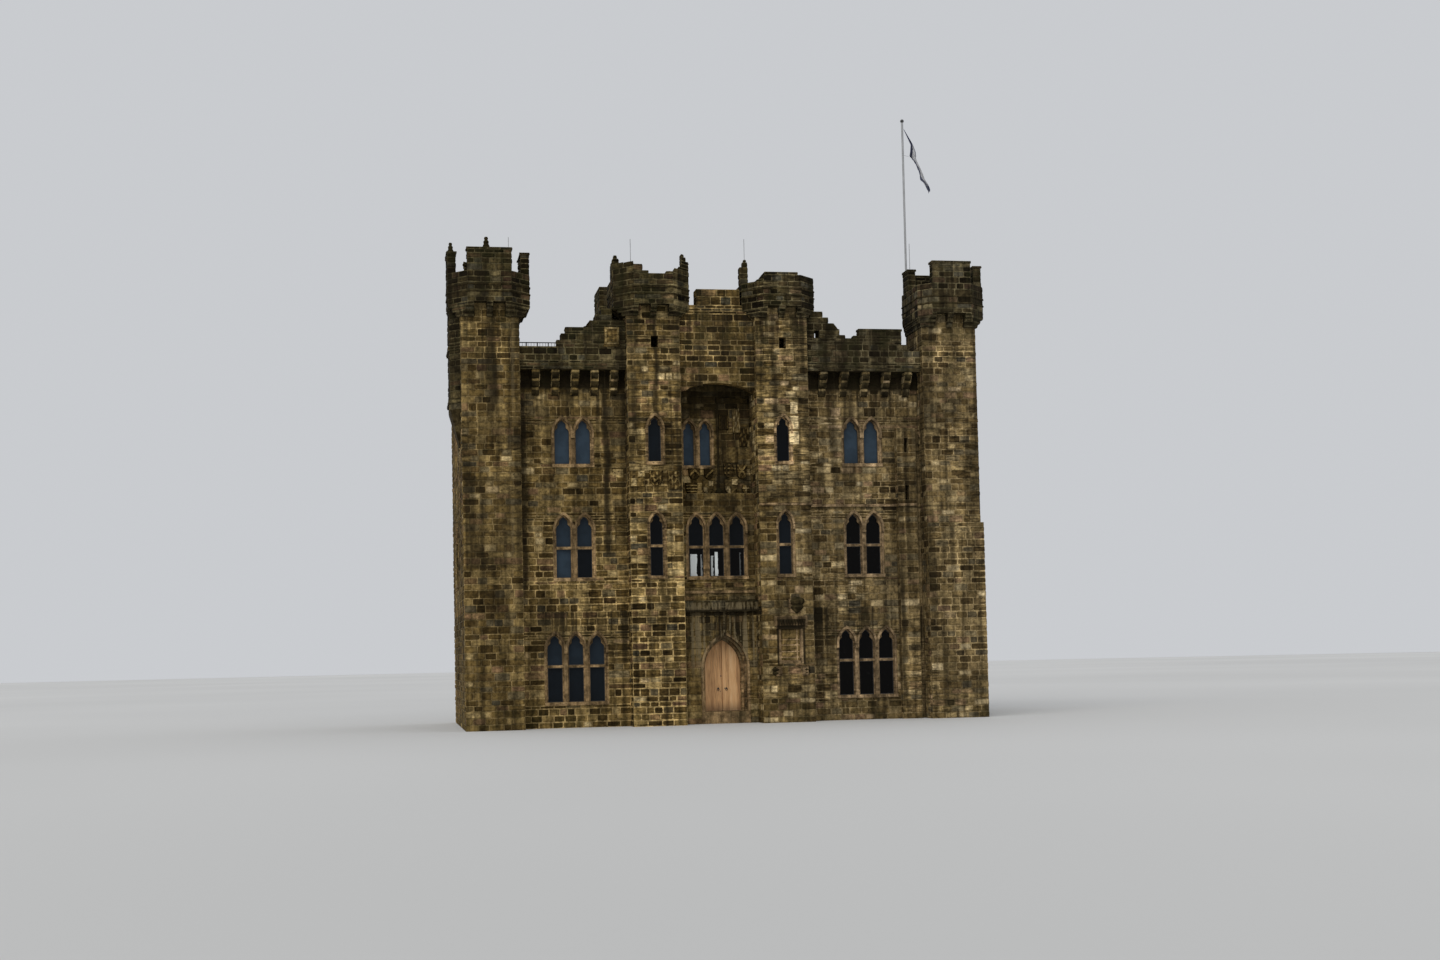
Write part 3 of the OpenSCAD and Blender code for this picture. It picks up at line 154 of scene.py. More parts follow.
def paint_points(piece, name, values):
    """Keeps four values for each point of a piece under a name, for its material."""
    attribute = piece.data.attributes.new(name, "FLOAT_COLOR", "POINT")
    attribute.data.foreach_set("color", np.asarray(values, np.float32).ravel())


class Gathered:
    """Shells gathered into one piece: points and faces are kept until it is built."""

    def __init__(self):
        self.points, self.faces, self.count = [], {}, 0

    def add(self, points, *faces):
        points = np.asarray(points, float).reshape(-1, 3)
        for f in faces:
            f = np.asarray(f)
            self.faces.setdefault(f.shape[1], []).append(f + self.count)
        self.points.append(points)
        self.count += len(points)

    def piece(self, name, material, **more):
        faces = [np.concatenate(f) for f in self.faces.values()]
        return mesh_piece(name, np.concatenate(self.points), faces, material, **more)


def carried(outline, profile):
    """A closed profile of (out, up) points carried round a closed outline. Each corner
    of the outline moves out along the mitre of its two sides: the sum of their normals
    over one plus their product. Both run anticlockwise."""
    outline, profile = np.asarray(outline, float), np.asarray(profile, float)
    side = np.roll(outline, -1, axis=0) - outline
    side /= np.linalg.norm(side, axis=1)[:, None]
    normal = np.stack([side[:, 1], -side[:, 0]], axis=1)
    before = np.roll(normal, 1, axis=0)
    mitre = (normal + before) / (1 + (normal * before).sum(1))[:, None]
    plan = outline[:, None] + mitre[:, None] * profile[None, :, :1]
    height = np.broadcast_to(profile[None, :, 1:], plan.shape[:2] + (1,))
    points = np.concatenate([plan, height], axis=2)
    return points, grid_faces(len(outline), len(profile), True, True)


def stood_up(points):
    """Turns a drawing made flat so that it stands upright, facing the front."""
    points = np.asarray(points, float)
    return np.stack([points[..., 0], -points[..., 2], points[..., 1]], axis=-1)


def arch_side(width, spring, apex, steps=14):
    """One side of a pointed arch: an arc whose radius is (a a + h h) / 2a for half
    width a and rise h, from the spring up to the apex."""
    a, h = width / 2, apex - spring
    radius = (a * a + h * h) / (2 * a)
    t = np.linspace(0, math.atan2(h, radius - a), steps + 1)
    return np.stack([a - radius + radius * np.cos(t), spring + radius * np.sin(t)], axis=1)


def light_outline(width, sill, spring, apex):
    """Outline of a pointed light, anticlockwise from its lower left corner."""
    side = arch_side(width, spring, apex)
    back = side[-2::-1] * (-1, 1)
    return np.concatenate([[[-width / 2, sill], [width / 2, sill]], side, back])


def tube(path, radius, sides):
    """Rings of a given radius round each point of a path, square to the path there,
    with a flat cap on both ends."""
    path = np.asarray(path, float)
    along = np.gradient(path, axis=0)
    along /= np.linalg.norm(along, axis=1)[:, None]
    aside = np.where(np.abs(along[:, 2:]) > 0.9, (1.0, 0, 0), (0, 0, 1.0))
    first = np.cross(along, aside)
    first /= np.linalg.norm(first, axis=1)[:, None]
    second = np.cross(along, first)
    t = np.arange(sides) * 2 * math.pi / sides
    radius = np.broadcast_to(radius, len(path))[:, None, None]
    points = path[:, None] + radius * (first[:, None] * np.cos(t)[None, :, None]
                                       + second[:, None] * np.sin(t)[None, :, None])
    n = len(path)
    start = np.arange(sides)[None, ::-1]
    end = (n - 1) * sides + np.arange(sides)[None]
    return points, grid_faces(n, sides, False, True), start, end


# Shader node helpers


def fill(tree, node, **sockets):
    """Fills a node's sockets. One named i3 or Base_Color takes a number, a colour, a
    Value or another node's output."""
    for name, value in sockets.items():
        key = int(name[1:]) if name[0] == "i" and name[1:].isdigit() else name.replace("_", " ")
        if isinstance(value, Value):
            value = value.socket
        if isinstance(value, bpy.types.NodeSocket):
            tree.links.new(value, node.inputs[key])
        else:
            node.inputs[key].default_value = value
    return node


def put(tree, kind, settings=None, **sockets):
    """Adds a node with its settings, and fills its sockets."""
    made = tree.nodes.new(kind)
    for name, value in (settings or {}).items():
        setattr(made, name, value)
    return fill(tree, made, **sockets)


class Value:
    """A number that changes over the surface. Values add, multiply and compare like
    numbers, and a comparison is 1 where it holds and 0 elsewhere."""

    def __init__(self, tree, socket):
        self.tree, self.socket = tree, socket

    def maths(self, operation, other=0.0, first=None, clamp=False):
        """A value worked out from this one and another, or from first and another."""
        made = put(self.tree, "ShaderNodeMath", {"operation": operation, "use_clamp": clamp},
                   i0=self if first is None else first, i1=other)
        return Value(self.tree, made.outputs[0])

    def __add__(self, other):
        return self.maths("ADD", other)

    def __sub__(self, other):
        return self.maths("SUBTRACT", other)

    def __rsub__(self, first):
        return self.maths("SUBTRACT", self, first)

    def __mul__(self, other):
        return self.maths("MULTIPLY", other)

    def __truediv__(self, other):
        return self.maths("DIVIDE", other)

    def __gt__(self, other):
        return self.maths("GREATER_THAN", other)

    def __lt__(self, other):
        return self.maths("LESS_THAN", other)

    def __abs__(self):
        return self.maths("ABSOLUTE")

    def eased(self, low, high, to_low=0.0, to_high=1.0):
        """The value eased from one level to another, smooth at both ends."""
        made = put(self.tree, "ShaderNodeMapRange", {"interpolation_type": "SMOOTHSTEP"},
                   i0=self, i1=low, i2=high, i3=to_low, i4=to_high)
        return Value(self.tree, made.outputs[0])

    def between(self, low, high, soft=0.0):
        """1 between two levels and 0 outside them, with sharp edges or eased ones."""
        if not soft:
            return (self > low) * (self < high)
        return self.eased(low - soft, low + soft) * self.eased(high + soft, high - soft)


def most(*values):
    """The greatest of several values."""
    return reduce(lambda a, b: a.maths("MAXIMUM", b), values)


def blended(tree, factor, a, b, kind="MIX"):
    """Colour a turned into colour b by a factor."""
    made = put(tree, "ShaderNodeMix", {"data_type": "RGBA", "blend_type": kind},
               i0=factor, i6=a, i7=b)
    return made.outputs[2]


def noise(tree, place, scale, detail=3.0, rough=0.5, stretch=None, warp=0.0):
    """A cloudy pattern, drawn out along an axis where its stretch is small."""
    if stretch:
        place = put(tree, "ShaderNodeVectorMath", {"operation": "MULTIPLY"}, i0=place,
                    i1=stretch).outputs[0]
    made = put(tree, "ShaderNodeTexNoise", {}, Vector=place, Scale=scale, Detail=detail,
               Roughness=rough, Distortion=warp)
    return Value(tree, made.outputs["Fac"])


def ramp(tree, factor, *stops):
    """A colour ramp of (place, colour) stops."""
    made = put(tree, "ShaderNodeValToRGB", {}, Fac=factor)
    points = made.color_ramp.elements
    while len(points) < len(stops):
        points.new(0.5)
    for point, (place, colour) in zip(points, stops):
        point.position, point.color = place, (*colour, 1)
    return made.outputs["Color"]


def bumped(tree, height, strength, depth):
    """The surface's direction where a height from 0 to 1 raises it by a depth."""
    return put(tree, "ShaderNodeBump", {}, Strength=strength, Distance=depth,
               Height=height).outputs["Normal"]


def parts_of(tree, node, output):
    """The three parts of a node's vector or colour output."""
    kind = "ShaderNodeSeparateColor" if output == "Color" else "ShaderNodeSeparateXYZ"
    return [Value(tree, part) for part in put(tree, kind, {}, i0=node.outputs[output]).outputs]


def axes(tree):
    """Object coordinates: the place, and its three parts."""
    node = put(tree, "ShaderNodeTexCoord")
    return node.outputs["Object"], *parts_of(tree, node, "Object")


def facing_up(tree):
    """How far the surface faces up: 1 on top, 0 on a wall and -1 underneath."""
    return parts_of(tree, put(tree, "ShaderNodeNewGeometry"), "True Normal")[2]


def painted(tree, name):
    """The values painted on a piece's points under a name."""
    return parts_of(tree, put(tree, "ShaderNodeAttribute", {"attribute_name": name}), "Color")


def new_material(name):
    """An empty material with its shader: returns (material, node tree, shader)."""
    material = bpy.data.materials.new(name)
    material.use_nodes = True
    tree = material.node_tree
    return material, tree, tree.nodes["Principled BSDF"]


def effect(name, inputs, outputs):
    """A shared effect: an empty node group. Inputs are given with their own values. A
    socket named Colour holds a colour, and any other a number."""
    group = bpy.data.node_groups.new(name, "ShaderNodeTree")
    kinds = {True: "NodeSocketColor", False: "NodeSocketFloat"}
    for label, value in inputs.items():
        socket = group.interface.new_socket(label, in_out="INPUT",
                                            socket_type=kinds[label == "Colour"])
        socket.default_value = value
    for label in outputs:
        group.interface.new_socket(label, in_out="OUTPUT", socket_type=kinds[label == "Colour"])
    return group, group.nodes.new("NodeGroupInput"), group.nodes.new("NodeGroupOutput")


# Shared effects

# Sooty places and dark joints on the front, with painted shade under the entrance ledge,
# down the niche's jambs, under its lintel and under the string course: left, right, foot,
# head, strength.
SOOT_AND_PAINTED_SHADE = ((1.30, 3.39, 8.95, 10.15, 0.35), (3.40, 10.5, 8.60, 8.69, 0.6),
        (1.85, 3.05, 3.90, 4.22, 0.45), (-10.4, -8.25, 6.3, 9.9, 0.45),
        (8.3, 10.4, 0.6, 5.0, 0.3), (-8.2, -4.0, 0.6, 4.2, 0.2),
        (1.28, 3.35, 5.2, 9.3, 0.15), (-1.84, 1.26, 4.50, 4.66, 0.95),
        (1.86, 1.945, 2.30, 3.90, 0.85), (2.925, 3.01, 2.30, 3.90, 0.85),
        (1.90, 2.96, 3.72, 3.88, 0.9), (-1.84, 1.26, 4.34, 4.50, 0.9),
        (2.80, 2.88, 2.36, 2.56, 0.95))
# Clean places on the front, in the same order.
CLEAN = ((-4.86, -4.19, 15.14, 15.92, 0.6), (1.945, 2.925, 2.36, 3.74, 0.4),
         (-1.5, 1.25, 9.2, 12.9, 0.75), (-1.84, 1.26, 0.5, 3.0, 0.5),
         (2.5, 3.02, 11.1, 12.95, 0.95), (1.3, 3.4, 12.4, 15.2, 0.35),
         (8.3, 10.4, 12.0, 15.4, 0.45), (0.55, 1.26, 0.5, 2.9, 0.5))
# Long dark runs down the front: middle, half width, foot, head, strength.
DARK_RUNS = ((-8.09, 0.22, 5.2, 13.4, 0.8), (-4.72, 0.22, 6.6, 14.2, 0.85),
             (7.30, 0.18, 0.8, 6.0, 0.75), (7.58, 0.18, 7.6, 13.9, 0.35),
             (8.40, 0.14, 0.8, 15.6, 0.3), (-9.3, 0.34, 12.0, 16.2, 0.8),
             (-8.55, 0.14, 13.2, 16.2, 0.75), (-2.86, 0.16, 12.0, 16.5, 0.8),
             (-1.98, 0.15, 9.5, 16.3, 0.6), (3.22, 0.16, 11.0, 16.3, 0.6),
             (2.0, 0.14, 12.2, 16.5, 0.8), (-3.75, 0.2, 10.5, 16.2, 0.6),
             (5.1, 0.18, 9.2, 13.8, 0.6), (0.9, 0.22, 9.6, 13.0, 0.7))


def make_weather():
    """Weather on the stone, and painted shade: grime that runs down from the corbels,
    parapets and ledge, soot and painted shade between the corbels, painted shade under
    the arch and in some listed places, algae where water lies, lime, broad patches and
    streaks, and how pale the pointing is."""
    group, _, out = effect("weather", {}, ("Dirt", "Green", "Patch", "Lime", "Mortar", "Runs"))
    place, x, y, z = axes(group)
    front = y < -3.9
    recess = x.between(-1.85, 1.3, 0.02)

    def cloud(scale, detail, rough=0.5, stretch=None, warp=0.0):
        return noise(group, place, scale, detail, rough, stretch, warp)

    def on_front(edges, strength, soft_across, soft_up):
        """A strength between the edges of a place on the front, 0 outside it."""
        left, right, foot, head = edges
        inside = x.between(left, right, soft_across) * z.between(foot, head, soft_up)
        return inside * strength * front

    patch = cloud(0.45, 4, 0.6)
    broad = cloud(1.0, 5, 0.6, (3.2, 3.2, 0.16), warp=0.2)
    bands = cloud(1.0, 3, 0.6, (0.85, 0.85, 0.07)).eased(0.47, 0.66)
    total = bands * z.eased(1.0, 13.0, 0.25, 0.62)
    fine_runs = cloud(1.0, 4, 0.65, (6.5, 6.5, 0.22))
    runs = fine_runs * 0.45 + cloud(1.0, 4, 0.6, (2.4, 2.4, 0.10)) * 0.55
    runs = runs.eased(0.465, 0.565) * 0.85 + 0.15
    # Dirt runs down from three levels: its top, the length of its run, strength, where.
    in_bays = y > -4.62
    past_corbels = 1.0 - y.between(-5.06, -4.42) * (z < 14.19)
    for top, length, strength, where in ((16.45, 4.2, 0.76, past_corbels),
                                         (14.25, 3.4, 0.85, in_bays), (4.6, 3.6, 0.9, in_bays)):
        near = z.eased(top - length, top) * (z < top)
        total = most(total, near * strength * runs * where)
    # Soot and painted shade, nearly black, between the corbels of the bays, and painted
    # shade under the crown of the arch, darker towards its top.
    hollow = z.between(13.45, 14.3, 0.12) * y.between(-4.50, -3.9) * 0.96
    arch = x.between(-1.9, 1.3, 0.02) * y.between(-4.3, -3.0) * z.eased(11.6, 13.2, 0.0, 0.7)
    total = most(total, hollow, arch)
    shifted = x + (cloud(0.8, 3) * 0.5 - 0.25)
    for middle, half, foot, head, strength in DARK_RUNS:
        run = abs(shifted - middle).eased(half, half * 0.2) * z.between(foot, head, 0.6)
        total = most(total, run * strength * front)
    # Soot, dark joints and the listed painted shade.
    for *edges, strength in SOOT_AND_PAINTED_SHADE:
        total = most(total, on_front(edges, strength, 0.012, 0.02))
    dirt_and_shade = total.maths("ADD", patch.eased(0.54, 0.74, 0.0, 0.4), clamp=True)
    for *edges, strength in CLEAN:
        dirt_and_shade = dirt_and_shade * (1.0 - on_front(edges, strength, 0.03, 0.04))

    moss = cloud(1.3, 5, 0.65).eased(0.42, 0.62)
    ledges = facing_up(group).eased(0.25, 0.8) * (moss * 0.6 + 0.4)
    green = most(ledges, z.eased(13.0, 14.6) * moss.eased(0.3, 1.0) * 0.4,
                 z.eased(1.2, 0.1) * moss * 0.5)

    # Lime runs down beside the door, over the ledge and here and there elsewhere.
    thin = cloud(1.0, 4, 0.7, (3.1, 3.1, 0.10)).eased(0.60, 0.72)
    wide = cloud(1.0, 4, 0.65, (5.2, 5.2, 0.16)).eased(0.515, 0.60)
    drops = cloud(1.0, 4, 0.7, (7, 7, 1.0)).eased(0.44, 0.56)
    porch = recess * y.between(-4.4, -3.4) * z.between(2.3, 4.5, 0.9)
    ledge = recess * y.between(-4.7, -4.4) * z.between(4.58, 4.86, 0.05)
    lime = most(thin * 0.22, wide * porch * 0.85, ledge * drops * 0.75)

    # The pointing is pale on parts of the gate turrets, at the left bay's foot, on the
    # right corner turret and near the parapets.
    worn = cloud(0.8, 4, 0.6).eased(0.40, 0.60)
    pale = most(x.between(-4.0, -1.8, 0.05) * z.eased(11.5, 8.5) * 0.8,
                x.between(-8.3, -3.9, 0.1) * z.eased(9.5, 7.0) * 0.8,
                x.between(8.4, 10.8, 0.3) * z.between(2.0, 8.3, 1.0) * 0.75,
                z.between(14.4, 15.3, 0.2) * 0.75, z.eased(15.1, 15.5) * 0.42, worn * 0.35)
    pale = pale * worn.eased(0.0, 1.0, 0.55, 1.0)
    # The darkening output carries soot and grime together with painted shade.
    fill(group, out, Dirt=dirt_and_shade, Green=green, Patch=patch, Lime=lime, Mortar=pale, Runs=broad)
    return group


def make_grain():
    """Grain of the stone: mottling of hand size, grit, small pits, and thin beds that
    follow the courses where the stone is weathered away in layers."""
    group, _, out = effect("grain", {}, ("Mottle", "Pits", "Beds", "Relief"))
    place, x, _, z = axes(group)
    mottle = noise(group, place, 5.0, 6, 0.72)
    grit = noise(group, place, 34.0, 3, 0.6)
    pits = noise(group, place, 13.0, 4, 0.6, warp=0.5).eased(0.60, 0.70)
    beds = noise(group, place, 1.0, 5, 0.7, stretch=(1.6, 1.6, 13.0), warp=0.4)
    # The two gate turrets and patches elsewhere are worn in layers.
    layered = most(x.eased(1.0, 1.5) * x.eased(4.6, 3.2) * z.eased(6.5, 10.0),
                   x.eased(-4.2, -3.6) * x.eased(-1.6, -2.2) * 0.7,
                   noise(group, place, 0.35, 3).eased(0.50, 0.62, 0.0, 0.8))
    beds = (beds - 0.5) * layered + 0.5
    relief = mottle * 0.6 + grit * 0.12 - pits * 0.5 + beds * 1.2
    fill(group, out, Mottle=mottle, Pits=pits, Beds=beds, Relief=relief)
    return group


def make_finish():
    """Stone colour from its own tone and hue, its grain, and the weather and painted shade on it.
    """
    given = {"Colour": (0.2, 0.15, 0.08, 1), "Mottle": 0.5, "Pits": 0.0, "Beds": 0.5,
             "Dirt": 0.0, "Green": 0.0, "Patch": 0.5, "Lime": 0.0, "Runs": 0.5}
    group, entry, out = effect("stone_finish", given, ("Colour",))
    take = {socket.name: Value(group, socket) for socket in entry.outputs if socket.name}
    colour = take["Colour"]
    # How bright each pattern leaves the stone at its low and at its high level.
    for pattern, low, high, at_low, at_high in (
            ("Mottle", 0.33, 0.67, 0.48, 1.55), ("Beds", 0.34, 0.66, 0.30, 1.8),
            ("Patch", 0.3, 0.7, 1.22, 0.72), ("Runs", 0.36, 0.64, 1.62, 0.58)):
        shade = take[pattern].eased(low, high, at_low, at_high)
        grey = put(group, "ShaderNodeCombineColor", {}, i0=shade, i1=shade, i2=shade)
        colour = blended(group, 1.0, colour, grey.outputs[0], "MULTIPLY")
    # The right half of the front is a little greyer than the left.
    depth = axes(group)[1].eased(0.5, 4.0, 1.0, 0.92)
    colour = put(group, "ShaderNodeHueSaturation", {}, i1=depth, i4=colour).outputs[0]
    # Laid over the colour in turn: dark pits, soot and grime together with painted shade, lime and
    # algae.
    for amount, stain in ((take["Pits"] * 0.75, (0.022, 0.017, 0.010, 1)),
                          (take["Dirt"], (0.018, 0.0135, 0.007, 1)),
                          (take["Lime"], (0.205, 0.160, 0.088, 1)),
                          (take["Green"] * 0.42, (0.036, 0.040, 0.012, 1))):
        colour = blended(group, amount, colour, stain)
    fill(group, out, Colour=colour)
    return group


weather, grain, stone_finish = make_weather(), make_grain(), make_finish()

# Stone materials

# Stone colours from the darkest blocks to the palest.
SAND_TONES = ((0.0, (0.021, 0.0135, 0.0045)), (0.25, (0.060, 0.038, 0.012)),
              (0.5, (0.134, 0.089, 0.030)), (0.75, (0.208, 0.146, 0.057)),
              (1.0, (0.41, 0.31, 0.155)))
SOOTY_TONES = ((0.0, (0.006, 0.0039, 0.0017)), (0.25, (0.014, 0.0104, 0.0039)),
               (0.55, (0.035, 0.025, 0.010)), (0.8, (0.068, 0.051, 0.021)),
               (1.0, (0.151, 0.117, 0.055)))
DRESSED_TONES = ((0.0, (0.080, 0.052, 0.025)), (0.35, (0.165, 0.108, 0.051)),
                 (0.6, (0.240, 0.161, 0.079)), (1.0, (0.360, 0.254, 0.130)))
FLOOR_TONES = ((0.0, (0.10, 0.095, 0.085)), (0.5, (0.17, 0.16, 0.14)),
               (1.0, (0.26, 0.25, 0.22)))
SAND_MORTAR, SOOTY_MORTAR = (0.44, 0.31, 0.130), (0.17, 0.135, 0.065)
DIRTY_SHARE = 0.26         # how bright mortar is where it isn't pale


def stone_surface(name, tones, laid=False, mortar=None, bump=0.6, blush=0.45):
    """Weathered stone. Laid blocks take tone and hue from their own attribute. A bare
    wall face shows mortar, dark or pale, and other bare faces show stone whose tone
    comes from noise."""
    material, tree, shader = new_material(name)
    pink, grey = (0.23, 0.135, 0.075, 1), (0.080, 0.072, 0.048, 1)
    outdoors = put(tree, "ShaderNodeGroup", {"node_tree": weather}).outputs
    texture = put(tree, "ShaderNodeGroup", {"node_tree": grain}).outputs
    if laid:
        tone, hue, _ = painted(tree, "stone")
    else:
        place = axes(tree)[0]
        tone, hue = noise(tree, place, 2.6, 4, 0.6), noise(tree, place, 1.1, 3, 0.5)
    colour = ramp(tree, tone, *tones)
    colour = blended(tree, hue.eased(0.86, 0.96) * blush, colour, pink)
    colour = blended(tree, hue.eased(0.18, 0.06) * 0.5, colour, grey)
    if mortar:
        dark = [DIRTY_SHARE * part for part in mortar]
        bed = blended(tree, outdoors["Mortar"], (*dark, 1), (*mortar, 1))
        colour = blended(tree, abs(facing_up(tree)) < 0.1, colour, bed)
    own = {key: texture[key] for key in ("Mottle", "Pits", "Beds")}
    added = {key: outdoors[key] for key in ("Dirt", "Green", "Patch", "Lime", "Runs")}
    done = put(tree, "ShaderNodeGroup", {"node_tree": stone_finish}, Colour=colour,
               **own, **added)
    fill(tree, shader, Base_Color=done.outputs[0], Roughness=0.92, Specular_IOR_Level=0.06,
         Normal=bumped(tree, texture["Relief"], bump, 0.05))
    return material


sandstone_laid = stone_surface("sandstone_laid", SAND_TONES, laid=True)
sandstone_bare = stone_surface("sandstone_bare", SAND_TONES, mortar=SAND_MORTAR)
sooty_laid = stone_surface("weathered_laid", SOOTY_TONES, laid=True, blush=0.2)
sooty_plain = stone_surface("weathered_plain", SOOTY_TONES, blush=0.2)
sooty_bare = stone_surface("weathered_bare", SOOTY_TONES, mortar=SOOTY_MORTAR, blush=0.2)
dressed_stone = stone_surface("dressed_stone", DRESSED_TONES, bump=0.35)
floor_stone = stone_surface("floor_stone", FLOOR_TONES, bump=0.3)

# Other materials


def oak_surface():
    """Pale pinkish oak: grain drawn out up the boards, each board a little different,
    and darker where rain splashes the foot of the door."""
    material, tree, shader = new_material("oak")
    place, x, _, z = axes(tree)
    board = ((x - DOOR_MID) / (DOOR_HALF / BOARDS)).maths("FLOOR")
    made = put(tree, "ShaderNodeTexWhiteNoise", {"noise_dimensions": "1D"}, i1=board)
    own = Value(tree, made.outputs[0])
    fibre = noise(tree, place, 1.0, 5, 0.65, stretch=(46, 46, 1.8), warp=0.3)
    figure = noise(tree, place, 1.0, 3, 0.5, stretch=(9, 9, 0.9), warp=0.8)
    tone = fibre * 0.55 + figure * 0.45 + (own - 0.5) * 0.22
    colour = ramp(tree, tone, (0.25, (0.30, 0.155, 0.062)), (0.5, (0.72, 0.415, 0.185)),
                  (0.75, (0.88, 0.60, 0.32)))
    colour = blended(tree, z.eased(0.95, 0.45) * 0.55, colour, (0.085, 0.055, 0.035, 1))
    fill(tree, shader, Base_Color=colour, Roughness=0.72,
         Normal=bumped(tree, fibre, 0.4, 0.004))
    return material


def iron_surface():
    """Black painted wrought iron, hammered and rusting a little in the hollows."""
    material, tree, shader = new_material("iron")
    place = axes(tree)[0]
    hammered = noise(tree, place, 42, 3, 0.5)
    rust = noise(tree, place, 17, 5, 0.7).eased(0.58, 0.72)
    colour = ramp(tree, hammered, (0.3, (0.010, 0.010, 0.011)), (0.7, (0.032, 0.031, 0.031)))
    colour = blended(tree, rust * 0.6, colour, (0.085, 0.034, 0.014, 1))
    fill(tree, shader, Base_Color=colour, Roughness=rust.eased(0, 1, 0.42, 0.85),
         Normal=bumped(tree, hammered, 0.5, 0.003))
    return material


# Panes of the front with a painted reflection of the sky: strength, left, right, foot, head.
PAINTED_SKY_PANES = ((0.85, -6.9, -6.12, 5.9, 7.2), (0.62, -6.9, -6.12, 7.2, 8.5),
          (0.45, -6.1, -5.2, 7.2, 8.5), (0.10, -6.1, -5.2, 5.9, 7.2),
          (0.42, -7.3, -4.9, 2.4, 3.8), (0.16, -7.3, -4.9, 0.9, 2.4),
          (0.08, -1.8, 1.3, 7.2, 8.5), (0.05, -3.3, -2.5, 5.9, 8.5),
          (0.16, 1.9, 2.8, 5.9, 8.5))
# The upper storey's glass has the painted reflection all along, apart from the gate turrets'
# lights.
TURRET_PANES = ((0.85, -3.4, -2.4, 10.0, 13.0), (0.93, 1.8, 2.9, 10.0, 13.0))
# Daylight from behind in the hall window.
DAYLIGHT = ((1.0, -1.36, -1.08, 5.9, 6.85), (0.4, -0.943, -0.861, 5.9, 6.84),
            (0.6, -0.517, -0.41, 5.9, 6.78), (1.0, -0.357, -0.222, 5.9, 6.93),
            (0.12, 0.656, 0.73, 5.9, 6.9))


def glass_surface():
    """Old window glass over dark rooms: nearly black, with a painted reflection of the sky's
    blue grey in the upper storey and the left bay, uneven from pane to pane, and painted
    daylight in the hall window."""
    material, tree, shader = new_material("window_glass")
    place, x, y, z = axes(tree)
    wavy = noise(tree, place, 1.4, 3, 0.5, stretch=(1, 1, 0.6))
    front = y < 0.0
    dark_room, painted_sky_reflection = (0.0016, 0.0013, 0.0010, 1), (0.036, 0.056, 0.078, 1)
    open_sky, dust = (0.70, 0.74, 0.74, 1), (0.25, 0.25, 0.24, 1)

    def pane(strength, left, right, foot, head):
        """A strength inside one opening of the front, 0 outside it."""
        return x.between(left, right) * z.between(foot, head) * front * strength

    # Painted reflection of the sky: along the upper storey's glass, mostly taken out of the gate
    # turrets' lights, and on the listed panes.
    sky = z.eased(10.2, 10.6) * wavy.eased(0.32, 0.55, 0.8, 1.0)
    for opening in TURRET_PANES:
        sky = sky * (1.0 - pane(*opening))
    sky = most(sky, *[pane(*opening) for opening in PAINTED_SKY_PANES])
    cloudy = noise(tree, place, 3, 3).eased(0.66, 0.40, 0.8, 1.0)
    colour = blended(tree, sky * cloudy, dark_room, painted_sky_reflection)
    ragged = x + (noise(tree, place, 7, 3) * 0.14 - 0.07)
    daylight = most(*[pane(*opening) * (ragged < opening[2] - 0.02) for opening in DAYLIGHT])
    colour = blended(tree, daylight, colour, open_sky)
    dusty = noise(tree, place, 6, 5, 0.7).eased(0.55, 0.8) * 0.03
    colour = blended(tree, dusty, colour, dust)
    fill(tree, shader, Base_Color=colour, Roughness=wavy.eased(0.3, 0.7, 0.06, 0.22),
         IOR=1.33, Specular_IOR_Level=0.16, Normal=bumped(tree, wavy, 0.08, 0.02))
    return material


def paint_surface():
    """Pale grey paint on the pole and rods, chalking, with grey weather streaks and a
    black cap at the pole's top."""
    material, tree, shader = new_material("pole_paint")
    place, _, _, z = axes(tree)
    chalk = noise(tree, place, 7, 4, 0.6, stretch=(3, 3, 0.4))
    colour = ramp(tree, chalk, (0.3, (0.26, 0.265, 0.27)), (0.7, (0.44, 0.445, 0.45)))
    colour = blended(tree, z > CAP_FOOT, colour, (0.04, 0.04, 0.04, 1))
    fill(tree, shader, Base_Color=colour, Roughness=chalk.eased(0.3, 0.7, 0.35, 0.6),
         Normal=bumped(tree, chalk, 0.2, 0.002))
    return material


def cloth_surface():
    """Woven flag cloth in navy, with one undyed field inside a navy border. Length and
    height are measured on the flat cloth, in metres."""
    material, tree, shader = new_material("flag_cloth")
    length, height, _ = painted(tree, "cut")
    pale = length.between(0.62, 2.48, 0.02) * height.between(0.16, 1.02, 0.02)
    place = axes(tree)[0]
    weave = put(tree, "ShaderNodeTexWave", {"wave_type": "BANDS", "bands_direction": "Z"},
                Vector=place, Scale=110.0, Distortion=1.0).outputs["Fac"]
    faded = noise(tree, place, 3, 4, 0.6)
    navy = ramp(tree, faded, (0.3, (0.014, 0.022, 0.075)), (0.7, (0.034, 0.048, 0.125)))
    undyed = ramp(tree, faded, (0.3, (0.62, 0.63, 0.65)), (0.7, (0.80, 0.80, 0.81)))
    fill(tree, shader, Base_Color=blended(tree, pale, navy, undyed), Roughness=0.85,
         Sheen_Weight=0.25, Normal=bumped(tree, weave, 0.3, 0.002))
    return material


oak, iron, window_glass = oak_surface(), iron_surface(), glass_surface()
pole_paint, flag_cloth = paint_surface(), cloth_surface()

# What each slot's own faces show, beside and behind the laid blocks.
BARE = {"sandstone": sandstone_bare, "weathered_sandstone": sooty_bare,
        "dressed_sandstone": dressed_stone, "floor_stone": floor_stone, "oak": oak,
        "iron": iron, "window_glass": window_glass, "pole_paint": pole_paint,
        "flag_cloth": flag_cloth}
slot_of = {s["node"]: s["material_slot"] for s in frame["record"]["subparts"]}
for name, node in nodes.items():
    node.data.materials.clear()
    node.data.materials.append(sooty_plain if name == "figures" else BARE[slot_of[name]])

# Stone, block by block

